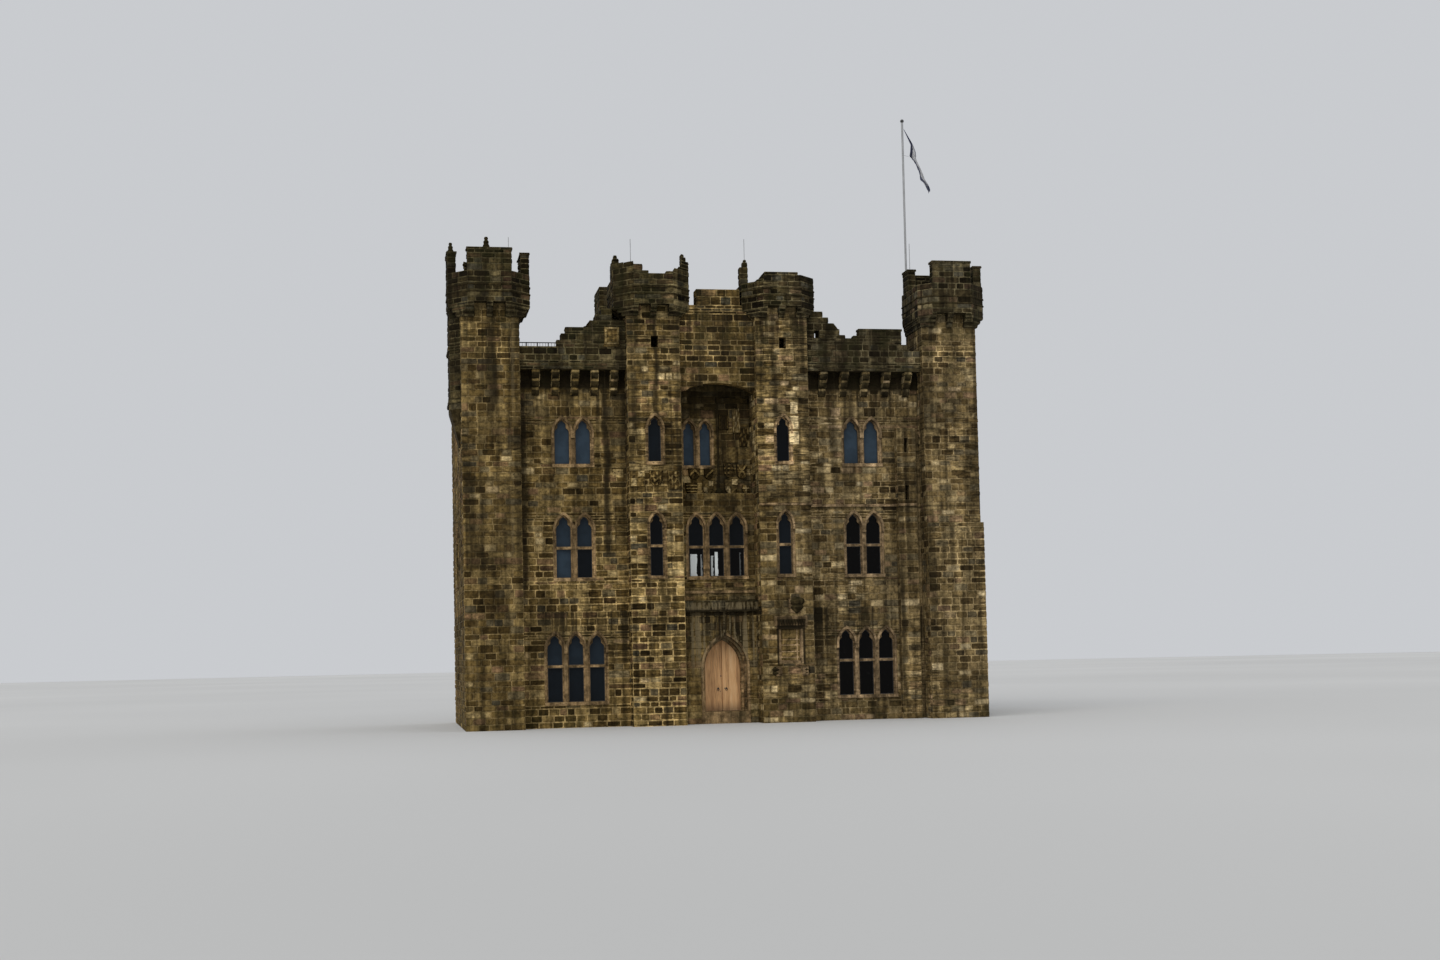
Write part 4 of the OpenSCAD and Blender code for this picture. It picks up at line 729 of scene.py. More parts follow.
COURSE = (0.20, 0.32)      # least and greatest height of a course
BLOCK = (0.28, 0.62)       # least and greatest length of a block
QUOIN = (0.56, 0.29)       # long and short corner stones, course by course
PAST_CORNER = 0.012        # how far a corner stone covers the edge of its wall
PROUD = (0.007, 0.026)     # how far a block's face stands out of the mortar
SUNK = 0.002               # how deep a block's back lies in the wall
ROUNDED = 0.024            # width of the worn edge of a block
LEVEL_GAP = 0.09           # two bed joints are at least this far apart
LEAST_BLOCK = (0.06, 0.07)   # a course's stretch of blocks is at least this long and high
LEAST_SPAN = 0.05          # shorter stretches of a wall's face get no blocks
RAYS = 14                  # rays tried from a block to find if it is seen
EDGE_SHADE, MIDDLE_SHADE = -0.10, 0.03   # tone along a block's joints and in its middle


def triangles_of(node):
    """Corners of a node's triangles, three points each."""
    mesh = nodes[node].data
    mesh.calc_loop_triangles()
    points = np.empty(len(mesh.vertices) * 3, np.float32)
    mesh.vertices.foreach_get("co", points)
    corners = np.empty(len(mesh.loop_triangles) * 3, np.int32)
    mesh.loop_triangles.foreach_get("vertices", corners)
    return points.reshape(-1, 3).astype(float)[corners].reshape(-1, 3, 3)


def upright_planes(node):
    """Upright faces of a node, plane by plane: the outward direction, the distance
    along it from the origin, and the triangles as (across, up) pairs."""
    least_size, steep, fineness = 1e-5, 0.02, 200
    corners = triangles_of(node)
    normal = np.cross(corners[:, 1] - corners[:, 0], corners[:, 2] - corners[:, 0])
    size = np.linalg.norm(normal, axis=1)
    keep = size > least_size
    corners, normal = corners[keep], normal[keep] / size[keep, None]
    keep = np.abs(normal[:, 2]) < steep
    corners, normal = corners[keep], normal[keep]
    offset = (corners[:, 0] * normal).sum(1)
    key = np.column_stack([normal[:, 0], normal[:, 1], offset]) * fineness
    key = np.round(key).astype(int)
    _, which = np.unique(key, axis=0, return_inverse=True)
    which = which.ravel()
    for plane in range(which.max() + 1 if len(which) else 0):
        mine = which == plane
        out = normal[mine].mean(0)[:2]
        out /= np.linalg.norm(out)
        flat = corners[mine]
        across = flat[..., 0] * -out[1] + flat[..., 1] * out[0]
        yield out, offset[mine].mean(), np.stack([across, flat[..., 2]], axis=-1)


def spans(flat, level):
    """Stretches that a plane's triangles cover at one level, merged where they meet."""
    meeting = 0.002
    over = flat[:, :, 1] - level
    above = over > 0
    cut = above.any(1) & ~above.all(1)
    if not cut.any():
        return []
    flat, over = flat[cut], over[cut]
    ends = []
    for a, b in ((0, 1), (1, 2), (2, 0)):
        crosses = (over[:, a] > 0) != (over[:, b] > 0)
        drop = np.where(crosses, over[:, a] - over[:, b], 1.0)
        at = flat[:, a, 0] + (flat[:, b, 0] - flat[:, a, 0]) * over[:, a] / drop
        ends.append(np.where(crosses, at, np.nan))
    low, high = np.nanmin(ends, axis=0), np.nanmax(ends, axis=0)
    merged = []
    for i in np.argsort(low):
        if merged and low[i] < merged[-1][1] + meeting:
            merged[-1][1] = max(merged[-1][1], high[i])
        else:
            merged.append([low[i], high[i]])
    return [s for s in merged if s[1] - s[0] > LEAST_SPAN]


def bed_levels(flat, shared):
    """Bed joints of a plane: its own level edges, and the shared courses between."""
    flatness, least_run = 1e-3, 0.12
    own = []
    for a, b in ((0, 1), (1, 2), (2, 0)):
        run = flat[:, b] - flat[:, a]
        is_bed = (np.abs(run[:, 1]) < flatness) & (np.abs(run[:, 0]) > least_run)
        own.append(flat[:, a, 1][is_bed])
    low, high = flat[..., 1].min(), flat[..., 1].max()
    levels = [low, high]
    for candidates in (np.unique(np.round(np.concatenate(own), 3)), shared):
        for level in candidates:
            if low < level < high and min(abs(level - x) for x in levels) > LEVEL_GAP:
                levels.append(level)
    return sorted(levels)


def end_near(stretches, span, side):
    """Where a stretch ends at another level, or its own end if that is far away."""
    far = 0.40
    best = max(stretches, key=lambda s: min(s[1], span[1]) - max(s[0], span[0]), default=span)
    return best[side] if abs(best[side] - span[side]) < far else span[side]


def course_of_blocks(flat, low, high, turn, draw):
    """Blocks of one course: rows of (left foot, left head, right foot, right head)."""
    just_inside = 0.004
    middle = spans(flat, (low + high) / 2)
    foot, head = spans(flat, low + just_inside), spans(flat, high - just_inside)
    for span in middle:
        left = [end_near(foot, span, 0) - PAST_CORNER, end_near(head, span, 0) - PAST_CORNER]
        right = [end_near(foot, span, 1) + PAST_CORNER, end_near(head, span, 1) + PAST_CORNER]
        start, end = max(left), min(right)
        if end - start < LEAST_BLOCK[0]:
            continue
        joints, at = [], start + QUOIN[turn] * draw.uniform(0.85, 1.15)
        while at < end - QUOIN[turn] * 0.9:
            joints.append(at)
            at += draw.uniform(*BLOCK)
        if joints and end - joints[-1] > BLOCK[1] * 1.15:
            joints.append(end - (end - joints[-1]) * draw.uniform(0.4, 0.6))
        sides = [left] + [[j, j] for j in joints] + [right]
        for a, b in zip(sides[:-1], sides[1:]):
            yield a[0], a[1], b[0], b[1]


def wall_of(node, shared, draw):
    """All blocks of a node as one array: left foot, left head, right foot, right head,
    foot, head, direction x, direction y, distance."""
    rows = []
    for out, distance, flat in upright_planes(node):
        levels = bed_levels(flat, shared)
        facing_side = int(abs(out[0]) > 0.8)
        for i, (low, high) in enumerate(zip(levels[:-1], levels[1:])):
            if high - low < LEAST_BLOCK[1]:
                continue
            turn = (i + facing_side) % 2
            for row in course_of_blocks(flat, low, high, turn, draw):
                rows.append((*row, low, high, out[0], out[1], distance))
    return np.array(rows).reshape(-1, 9)


def in_space(across, up, away, blocks):
    """Places points given across, up and away from the blocks' planes. Across runs
    along (-y, x) of the plane's direction (x, y)."""
    x, y, d = blocks[:, 6:7], blocks[:, 7:8], blocks[:, 8:9]
    return np.stack([-y * across + x * (d + away), x * across + y * (d + away), up], axis=-1)


def seen_blocks(blocks, solid):
    """Which blocks can be seen from outside: one of several rays from just in front of
    a block's face, spread over the half space before it, leaves the building."""
    just_off, outwards, steepest_down, far = 0.035, 0.25, -0.3, 80.0
    draw = np.random.default_rng(5)
    aim = draw.normal(size=(RAYS, 3))
    aim[:, 2] = np.abs(aim[:, 2]) + outwards
    aim /= np.linalg.norm(aim, axis=1)[:, None]
    keep = np.zeros(len(blocks), bool)
    middle = in_space(blocks[:, :4].mean(1)[:, None], blocks[:, 4:6].mean(1)[:, None],
                      np.full((len(blocks), 1), just_off), blocks)[:, 0]
    for i, (start, block) in enumerate(zip(middle, blocks)):
        x, y = block[6], block[7]
        for a, b, c in aim:
            way = (-y * a + x * c, x * a + y * c, b)
            if way[2] > steepest_down and solid.ray_cast(start, way, far)[0] is None:
                keep[i] = True
                break
    return keep


# A block is drawn over a square: eight points round its joint line, the same eight
# drawn in for its face, and the middle.
ROUND_SQUARE = np.array([[0, 0], [.5, 0], [1, 0], [1, .5], [1, 1], [.5, 1], [0, 1], [0, .5]])
BLOCK_SIDES = np.array([[i, (i + 1) % 8, 8 + (i + 1) % 8, 8 + i] for i in range(8)])
BLOCK_FACE = np.array([[8, 9, 16, 15], [9, 10, 11, 16], [16, 11, 12, 13], [15, 16, 13, 14]])
BLOCK_BACK = np.array([[7, 6, 5, 4, 3, 2, 1, 0]])
RIM_POINTS, BLOCK_POINTS = 8, 17

# Mean tone of a wall's blocks, how much it varies, and half the width of the joints.
MASONRY = {"corner_turret_left": (0.44, 0.17, 0.013), "corner_turret_right": (0.51, 0.18, 0.017),
           "gate_turret_left": (0.40, 0.25, 0.020), "gate_turret_right": (0.55, 0.23, 0.014),
           "bay_wall_left": (0.47, 0.21, 0.017), "bay_wall_right": (0.51, 0.20, 0.016),
           "hall_wall": (0.42, 0.19, 0.014), "chamber_wall": (0.50, 0.19, 0.012),
           "entrance_wall_left": (0.54, 0.12, 0.006), "entrance_wall_right": (0.56, 0.12, 0.006),
           "entrance_head": (0.52, 0.12, 0.006), "recess_arch": (0.25, 0.23, 0.016),
           "corner_crown_left": (0.27, 0.27, 0.014), "corner_crown_right": (0.42, 0.26, 0.014),
           "gate_crown_left": (0.50, 0.27, 0.014), "gate_crown_right": (0.31, 0.27, 0.014),
           "bay_corbels": (0.76, 0.12, 0.004), "bay_parapet_left": (0.50, 0.26, 0.016),
           "bay_parapet_right": (0.66, 0.26, 0.016)}
PLAIN_MASONRY = (0.5, 0.18, 0.016)


def drift(blocks):
    """Slow change of tone from place to place: a sum of waves over the wall."""
    across, up = blocks[:, :4].mean(1), blocks[:, 4:6].mean(1)
    waves = ((0.9, 0.35, 0.0), (-0.6, 0.8, 1.3), (0.4, -1.3, 2.1), (2.1, 0.5, 4.0),
             (-1.7, 1.9, 5.2))
    return 0.028 * sum(np.sin(a * across + b * up + c) for a, b, c in waves)


def worn_blocks(blocks, joint, proud, draw):
    """Points of a worn block for each row. Its edge points lie on the joint line, its
    face points stand out by a height of their own, and hollow stones dip in the middle."""
    n, rim = len(blocks), RIM_POINTS
    length = blocks[:, 2:4].mean(1) - blocks[:, 0:2].mean(1)
    height = blocks[:, 5] - blocks[:, 4]
    inset = np.stack([joint / length, joint / height], axis=1)[:, None]
    worn = np.stack([ROUNDED / length, ROUNDED / height], axis=1)[:, None]
    worn = np.minimum(worn, 0.22)
    corner = (ROUND_SQUARE[:, 0] != 0.5) & (ROUND_SQUARE[:, 1] != 0.5)
    sign = np.sign(0.5 - ROUND_SQUARE)
    edge = ROUND_SQUARE + sign * inset + sign * worn * 0.35 * corner[:, None]
    ring = ROUND_SQUARE + sign * (inset + worn * draw.uniform(0.7, 1.3, (n, rim, 1)))
    ring += sign * worn * 0.25 * corner[:, None]
    centre = 0.5 + draw.uniform(-0.12, 0.12, (n, 1, 2))
    square = np.concatenate([edge, ring, centre], axis=1)
    up = blocks[:, 4:5] + square[..., 1] * height[:, None]
    left = blocks[:, 0:1] + (blocks[:, 1:2] - blocks[:, 0:1]) * square[..., 1]
    right = blocks[:, 2:3] + (blocks[:, 3:4] - blocks[:, 2:3]) * square[..., 1]
    across = left + (right - left) * square[..., 0]
    rise = draw.uniform(*proud, (n, 1)) + draw.normal(0, 0.003, (n, rim + 1))
    hollow = draw.random(n) < 0.3
    rise[:, rim] += np.where(hollow, -0.012, 0.004)
    rise = np.maximum(rise, 0.003)
    away = np.concatenate([np.full((n, rim), -SUNK), rise], axis=1)
    return in_space(across, up, away, blocks)


def lay_blocks(name, blocks, draw, material, slot, proud=PROUD, look=None):
    """Stands a worn block on each row, with a drawn tone and hue, or with those that
    look gives."""
    tone, spread, joint = MASONRY.get(name.replace("stones_", ""), PLAIN_MASONRY)
    n = len(blocks)
    points = worn_blocks(blocks, joint, proud, draw).reshape(-1, 3)
    shift = (np.arange(n) * BLOCK_POINTS)[:, None, None]
    faces = [(f[None] + shift).reshape(-1, f.shape[1])
             for f in (BLOCK_SIDES, BLOCK_FACE, BLOCK_BACK)]
    piece = mesh_piece(name, points, faces, material, slot)
    tones = np.clip(draw.normal(tone, spread, (n, 1)) + drift(blocks)[:, None], 0.02, 0.98)
    hues = draw.random((n, 1))
    if look is not None:
        tones, hues = look[:, :1], look[:, 1:]
    own = np.ones((n, BLOCK_POINTS, 4))
    own[..., 0] = tones + np.repeat([EDGE_SHADE, 0.0, MIDDLE_SHADE], [RIM_POINTS, RIM_POINTS, 1])
    own[..., 1] = hues
    paint_points(piece, "stone", own)


def shared_courses():
    """Bed joints that run through the whole building, from just over the ground."""
    foot, count = 0.02, 110
    return foot + np.cumsum(np.random.default_rng(11).uniform(*COURSE, count))


def lay_all_stone():
    """Lays blocks over every upright face of the stone nodes that can be seen."""
    everything = [triangles_of(n) for n in sorted(nodes)]
    corners = np.concatenate(everything).reshape(-1, 3)
    solid = BVHTree.FromPolygons(corners.tolist(),
                                 np.arange(len(corners)).reshape(-1, 3).tolist())
    shared = shared_courses()
    bare = {"figures", "door_surround", "niche", "string_courses"}
    for number, name in enumerate(sorted(nodes)):
        slot = slot_of[name]
        if slot not in ("sandstone", "weathered_sandstone") or name in bare:
            continue
        draw = np.random.default_rng([7, number])
        blocks = wall_of(name, shared, draw)
        blocks = blocks[seen_blocks(blocks, solid)]
        laid = sandstone_laid if slot == "sandstone" or name == "bay_corbels" else sooty_laid
        if len(blocks):
            lay_blocks("stones_" + name, blocks, draw, laid, slot)


lay_all_stone()

# Windows

BAY_LIGHT, TURRET_LIGHT, CHAMBER_LIGHT = 0.59, 0.50, 0.43   # widths of the lights
MULLION = 0.25             # width of the stone between two lights
HEAD_RISE = 0.92           # rise of a light's head, in widths of the light
GLASS_BACK = 0.22          # depth of the glass behind the wall face
HALL_MID, CHAMBER_MID, REAR_MID, SIDE_MID = -0.29, -0.93, 1.45, 0.74
# Sill, height, and height of the transom over the sill or 0, storey by storey.
GROUND, FIRST, SECOND = (1.02, 2.64, 1.41), (5.94, 2.45, 1.19), (10.48, 1.77, 0)
# Wall, its face, number of lights, width of a light, place along the wall, storey.
WINDOWS = (
    [("front", BAY_FACE, 3, BAY_LIGHT, x, *GROUND) for x in BAY_MIDS]
    + [("front", BAY_FACE, 2, BAY_LIGHT, x, *s) for x in BAY_MIDS for s in (FIRST, SECOND)]
    + [("front", TURRET_FACE, 1, TURRET_LIGHT, x, *s) for x in GATE_TURRET_MIDS
       for s in (FIRST, SECOND)]
    + [("front", HALL_FACE, 3, BAY_LIGHT, HALL_MID, *FIRST),
       ("front", CHAMBER_FACE, 2, CHAMBER_LIGHT, CHAMBER_MID, *SECOND)]
    + [("rear", REAR_FACE, 3, BAY_LIGHT, x, *GROUND) for x in BAY_MIDS]
    + [("rear", REAR_FACE, 2, BAY_LIGHT, x, *s) for x in BAY_MIDS for s in (FIRST, SECOND)]
    + [("rear", REAR_FACE, 3, BAY_LIGHT, REAR_MID, *FIRST)]
    + [(side, HALF_WIDTH, 2, BAY_LIGHT, SIDE_MID, *s) for side in ("left", "right")
       for s in (FIRST, SECOND)])


def onto_wall(points, wall, face, along):
    """Moves points drawn for a wall facing the front at y = 0 onto a wall."""
    x, y, z = points[..., 0], points[..., 1], points[..., 2]
    if wall == "front":
        return np.stack([x + along, y + face, z], axis=-1)
    if wall == "rear":
        return np.stack([along - x, face - y, z], axis=-1)
    if wall == "left":
        return np.stack([y - face, along - x, z], axis=-1)
    return np.stack([face - y, along + x, z], axis=-1)


def add_casements():
    """An iron casement in each light, above and below the transom: a flat bar of 24 by
    20 mm carried round the light, held 4 mm off the glass."""
    bar, depth, gap, lap, half_transom = 0.024, 0.020, 0.004, 0.004, 0.05
    section = [(-bar, gap), (lap, gap), (lap, gap + depth), (-bar, gap + depth)]
    made = Gathered()
    for wall, face, count, width, along, sill, height, transom in WINDOWS:
        head, half = sill + height, width / 2
        spring = head - HEAD_RISE * width
        parts = [light_outline(width, sill, spring, head)]
        if transom:
            middle = sill + transom
            low = middle - half_transom
            parts = [np.array([[-half, sill], [half, sill], [half, low], [-half, low]]),
                     light_outline(width, middle + half_transom, spring, head)]
        for i in range(count):
            aside = (i - (count - 1) / 2) * (width + MULLION)
            for part in parts:
                points, faces = carried(part + (aside, 0), section)
                points = stood_up(points)
                points[..., 1] += GLASS_BACK
                made.add(onto_wall(points, wall, face, along), faces)
    made.piece("casements", iron, slot="iron")


add_casements()

# Door


def add_door_boards():
    """Upright boards on the face of each leaf. Across a board the face is flat with a
    worn edge on both sides, and its head follows the arch."""
    leaf_face, proud, sunk, edge, gap = -3.497, 0.011, 0.002, 0.014, 0.012
    clear, middle_gap, foot, rows = 0.014, 0.006, THRESHOLD + 0.02, 26
    rounding = [0, 0.4, 1, 1, 0.4, 0]
    width = (DOOR_HALF - clear - middle_gap) / BOARDS
    arch = arch_side(2 * (DOOR_HALF - clear), DOOR_SPRING, DOOR_APEX - clear * 1.2, 40)
    t = np.linspace(0, 1, rows)[:, None]
    away = np.where((t > 0) & (t < 1), rounding, 0.0) * proud - sunk
    for side, name, body in ((-1, "boards_left", "leaf_left"), (1, "boards_right", "leaf_right")):
        made = Gathered()
        for start in middle_gap + np.arange(BOARDS) * width:
            a, b = start + gap / 2, start + width - gap / 2
            across = np.array([a, a + 0.001, a + edge, b - edge, b - 0.001, b])
            top = np.interp(across, arch[::-1, 0], arch[::-1, 1])
            top = np.where(across < arch[0, 0], top, DOOR_SPRING)
            up = foot + (top - foot)[None] * t
            x = DOOR_MID + side * np.broadcast_to(across, up.shape)
            points = np.stack([x, leaf_face - away, up], axis=-1)
            if side < 0:
                points = points[:, ::-1]
            made.add(points, *closed_grid(rows, len(across)))
        made.piece(name, oak, body=body, slot="oak")


add_door_boards()

# Crowns


STEP_OUT, CHAMFER = 0.46, 0.74   # how far a crown steps out, and its cut corners
INNER_FACE, REAR_CROWN, REAR_EDGE = -3.02, 1.07, 3.2
CORNER_MID, CORNER_HALF, GATE_HALF = 9.36, 1.14, 1.065
GATE_LEFT, GATE_RIGHT = GATE_TURRET_MIDS
# Middle, half width, front, back, and which share of the step its left, right, front and
# rear sides take.
CROWNS = {
    "corner_left": (-CORNER_MID, CORNER_HALF, TURRET_FACE, INNER_FACE, (1, 1, 1, 1)),
    "corner_right": (CORNER_MID, CORNER_HALF, TURRET_FACE, INNER_FACE, (0.3, 1, 1, 1)),
    "gate_left": (GATE_LEFT, GATE_HALF, TURRET_FACE, INNER_FACE, (1, 1, 1, 0)),
    "gate_right": (GATE_RIGHT, GATE_HALF, TURRET_FACE, INNER_FACE, (1, 0.8, 1, 0)),
    "rear_left": (GATE_LEFT, GATE_HALF, REAR_CROWN, REAR_EDGE, (0.65, 0, 0, 1)),
    "rear_right": (GATE_RIGHT, GATE_HALF, REAR_CROWN, REAR_EDGE, (0, 0.65, 0, 1))}
ROLL_LEVELS = (17.12, 17.40)
RIGHT_DROP = 0.2           # how much lower the right corner crown is


def crown_outline(middle, half, front, back, steps):
    """Outline of a crown in plan: a rectangle grown by the step on its open sides, with
    its open corners cut off."""
    x0, x1 = middle - half - STEP_OUT * steps[0], middle + half + STEP_OUT * steps[1]
    y0, y1 = front - STEP_OUT * steps[2], back + STEP_OUT * steps[3]
    c = [CHAMFER * (steps[a] + steps[b]) / 2 * (steps[a] > 0) * (steps[b] > 0)
         for a, b in ((0, 2), (1, 2), (1, 3), (0, 3))]
    corners = [((x0, y0 + c[0]), (x0 + c[0], y0)), ((x1 - c[1], y0), (x1, y0 + c[1])),
               ((x1, y1 - c[2]), (x1 - c[2], y1)), ((x0 + c[3], y1), (x0, y1 - c[3]))]
    return [p for pair, cut in zip(corners, c) for p in (pair if cut else pair[:1])]


def add_crown_rolls():
    """Two roll mouldings round each crown: a circle of 45 mm radius carried round it."""
    radius, sunk, sides = 0.045, 0.004, 10
    t = np.arange(sides) * 2 * math.pi / sides
    made = Gathered()
    for name, crown in CROWNS.items():
        outline = crown_outline(*crown)
        drop = RIGHT_DROP if name == "corner_right" else 0
        for level in ROLL_LEVELS:
            section = np.stack([radius * np.cos(t) - sunk, level - drop + radius * np.sin(t)],
                               axis=1)
            made.add(*carried(outline, section))
    made.piece("crown_rolls", sooty_plain, slot="weathered_sandstone")


add_crown_rolls()

# Single stones

PINK, PLAIN = 0.97, 0.5    # hues of a stone
# Stones that stand apart from their course: left, right, foot, head, wall, tone, hue.
ODD_STONES = (
    (-3.06, -2.66, 8.82, 9.10, TURRET_FACE, 0.60, PINK),
    (-3.71, -3.20, 6.76, 7.08, TURRET_FACE, 0.62, PINK),
    (2.54, 2.99, 11.13, 11.72, TURRET_FACE, 1.0, PLAIN),
    (2.56, 2.98, 11.75, 12.34, TURRET_FACE, 1.0, PLAIN),
    (2.60, 2.96, 12.37, 12.92, TURRET_FACE, 1.0, PLAIN),
    (-9.05, -8.45, 9.30, 9.62, TURRET_FACE, 0.74, PLAIN),
    (-9.75, -9.20, 10.72, 10.98, TURRET_FACE, 0.12, PLAIN),
    (-9.95, -9.40, 3.02, 3.34, TURRET_FACE, 0.10, PLAIN),
    (-4.55, -4.05, 9.90, 10.30, BAY_FACE, 0.80, PLAIN),
    (-4.95, -4.42, 7.38, 7.66, BAY_FACE, 0.82, PLAIN),
    (-3.22, -2.63, 10.34, 10.43, TURRET_FACE, 0.86, PLAIN),
    (-3.12, -2.70, 10.18, 10.32, TURRET_FACE, 0.70, PLAIN),
    (3.55, 4.05, 5.10, 5.42, BAY_FACE, 0.12, PLAIN),
    (4.20, 4.70, 3.95, 4.25, BAY_FACE, 0.72, PLAIN),
    (8.9, 9.5, 12.55, 12.9, TURRET_FACE, 0.80, PLAIN),
    (9.3, 9.9, 9.85, 10.12, TURRET_FACE, 0.18, PLAIN))
# Flat stones that fill the niche, course by course.
NICHE_COURSES = (2.46, 2.60, 2.83, 3.09, 3.31, 3.74)
NICHE_EDGES, NICHE_JOINT, NICHE_BACK = (2.035, 2.835), 2.70, -5.20


def add_single_stones():
    """Odd stones on the front and the flat stones that fill the niche."""
    draw = np.random.default_rng(21)
    rows = [(a, a, b, b, foot, head, 0.0, -1.0, -wall)
            for a, b, foot, head, wall, _, _ in ODD_STONES]
    look = [stone[5:] for stone in ODD_STONES]
    lay_blocks("odd_stones", np.array(rows), draw, sandstone_laid, "sandstone",
               proud=(0.030, 0.042), look=np.array(look))
    rows, look = [], []
    for low, high in zip(NICHE_COURSES[:-1], NICHE_COURSES[1:]):
        for a, b in ((NICHE_EDGES[0], NICHE_JOINT), (NICHE_JOINT, NICHE_EDGES[1])):
            rows.append((a, a, b, b, low, high, 0.0, -1.0, -NICHE_BACK))
            look.append((0.46 + 0.04 * draw.normal(), PLAIN))
    lay_blocks("niche_filling", np.array(rows), draw, sandstone_laid, "sandstone",
               proud=(0.022, 0.028), look=np.array(look))


add_single_stones()

# Carved stones

# What is carved on a stone, raised where the rule holds. u runs from -1 to 1 across it
# and t from 0 to 1 up it.
DEVICES = {
    "plain": lambda u, t: 0 * u * t,
    "cross": lambda u, t: (abs(u) < 0.17) | (abs(t - 0.6) < 0.09),
    "saltire": lambda u, t: abs(abs(u) - abs(2.2 * t - 1.2)) < 0.24,
    "chevron": lambda u, t: abs(t - 0.78 + 0.5 * abs(u)) < 0.12,
    "bend": lambda u, t: abs(t - 0.5 - 0.36 * u) < 0.12,
    "roundels": lambda u, t: (np.cos(6.3 * u) > 0.1) & (np.cos(19 * t) > 0.1),
    "bars": lambda u, t: np.cos(25 * t) + 0 * u > 0.1,
    "posts": lambda u, t: np.cos(16 * u) + 0 * t > 0.2,
    "quartered": lambda u, t: ((u > 0) == (t > 0.55)) & (abs(u) > 0.1) & (abs(t - 0.55) > 0.05),
    "framed": lambda u, t: (abs(u) > 0.68) | (t < 0.14) | (t > 0.86),
    "worn": lambda u, t: np.sin(7 * u + 9 * t) + np.sin(17 * t - 5 * u + 1) + np.sin(13 * u) > 0.4}
# Form, device, left, right, foot, head, wall, how far it stands out, tone.
CARVINGS = (
    ("shield", "roundels", 0.12, 0.54, 9.97, 10.52, CHAMBER_FACE, 0.17, 0.40),
    ("shield", "saltire", 0.65, 1.09, 9.92, 10.52, CHAMBER_FACE, 0.17, 0.34),
    ("shield", "quartered", 0.13, 0.70, 9.27, 9.92, CHAMBER_FACE, 0.16, 0.66),
    ("shield", "cross", 0.88, 1.18, 9.30, 9.69, CHAMBER_FACE, 0.12, 0.55),
    ("shield", "bend", -0.69, -0.30, 9.90, 10.37, CHAMBER_FACE, 0.17, 0.22),
    ("shield", "quartered", -0.77, -0.31, 9.28, 9.85, CHAMBER_FACE, 0.14, 0.66),
    ("shield", "chevron", -1.34, -0.84, 9.90, 10.38, CHAMBER_FACE, 0.17, 0.22),
    ("shield", "bars", -1.47, -0.96, 9.28, 9.78, CHAMBER_FACE, 0.15, 0.30),
    ("panel", "plain", 0.09, 0.75, 10.57, 11.24, CHAMBER_FACE, 0.07, 0.66),
    ("panel", "worn", 0.53, 0.86, 11.79, 12.84, CHAMBER_FACE, 0.12, 0.80),
    ("panel", "worn", 0.81, 1.15, 11.24, 12.04, CHAMBER_FACE, 0.09, 0.12),
    ("panel", "posts", -0.04, 0.38, 11.94, 12.56, CHAMBER_FACE, 0.08, 0.08),
    ("panel", "plain", -0.78, -0.18, 12.75, 12.89, CHAMBER_FACE, 0.12, 0.55),
    ("panel", "plain", -0.17, 1.24, 13.04, 13.24, CHAMBER_FACE, 0.13, 0.40),
    ("panel", "quartered", -3.95, -3.33, 9.47, 10.12, TURRET_FACE, 0.10, 0.52),
    ("shield", "worn", -3.18, -2.61, 9.49, 10.13, TURRET_FACE, 0.11, 0.26),
    ("panel", "worn", -2.44, -1.87, 9.35, 10.12, TURRET_FACE, 0.10, 0.40),
    ("panel", "framed", -4.84, -4.21, 15.16, 15.90, -5.0, 0.10, 0.50),
    ("panel", "plain", -4.90, -4.15, 15.08, 15.17, -5.0, 0.12, 0.62))


def carving(form, device, left, right, foot, head, wall, proud, draw):
    """A stone carved in relief, closed behind the wall's face. A shield keeps its width
    down to the shoulder and then narrows as the square root of one less the square of
    the way below. Its height is a half, a low dome (1 - u to the fourth), a third where
    the device is, and waves of wear."""
    rows, columns, shoulder = 25, 21, 0.55
    t, u = np.meshgrid(np.linspace(0, 1, rows), np.linspace(-1, 1, columns), indexing="ij")
    half = np.ones_like(t)
    if form == "shield":
        way_down = np.clip((shoulder - t) / shoulder, 0, 0.999)
        half = np.sqrt(1 - way_down ** 2)
    across = (left + right) / 2 + u * half * (right - left) / 2
    up = foot + t * (head - foot)
    a, b, c = draw.uniform(0, 6.28, 3)
    wear = np.sin(9 * u + a) * np.sin(14 * t + b) + np.sin(23 * t - 8 * u + c)
    height = 0.5 + 0.14 * (1 - u ** 4) + 0.32 * DEVICES[device](u, t) + 0.035 * wear
    away = 1.35 * proud * height
    away[0] = away[-1] = away[:, 0] = away[:, -1] = -SUNK
    return np.stack([across, wall - away, up], axis=-1), height


def add_carvings():
    """Shields and panels in the recess, on the left gate turret and on the parapet. Painted
    light and shade follow the relief: high parts are painted pale, the ground of a device
    gets painted shade and the rim a nearly black painted shadow."""
    middle_height, ground, darker, rim, inside = 0.70, 0.6, 0.25, 0.03, slice(2, -2)
    draw = np.random.default_rng(31)
    made, tones = Gathered(), []
    for form, device, *place, tone in CARVINGS:
        points, height = carving(form, device, *place, draw)
        made.add(points, *closed_grid(*height.shape))
        # Painted light and shade from the relief: higher parts lighter, the ground of a device
        # darker and a nearly black painted shadow round the rim.
        shade = tone + 1.3 * (height - middle_height)
        within = shade[inside, inside]
        within[height[inside, inside] < ground] = tone - darker
        shade[:1] = shade[-1:] = shade[:, :1] = shade[:, -1:] = rim
        tones.append(shade.ravel())
    piece = made.piece("carvings", sandstone_laid, slot="sandstone")
    own = np.full((made.count, 4), 0.5)
    own[:, 0] = np.clip(np.concatenate(tones), 0.03, 0.97)
    paint_points(piece, "stone", own)


add_carvings()


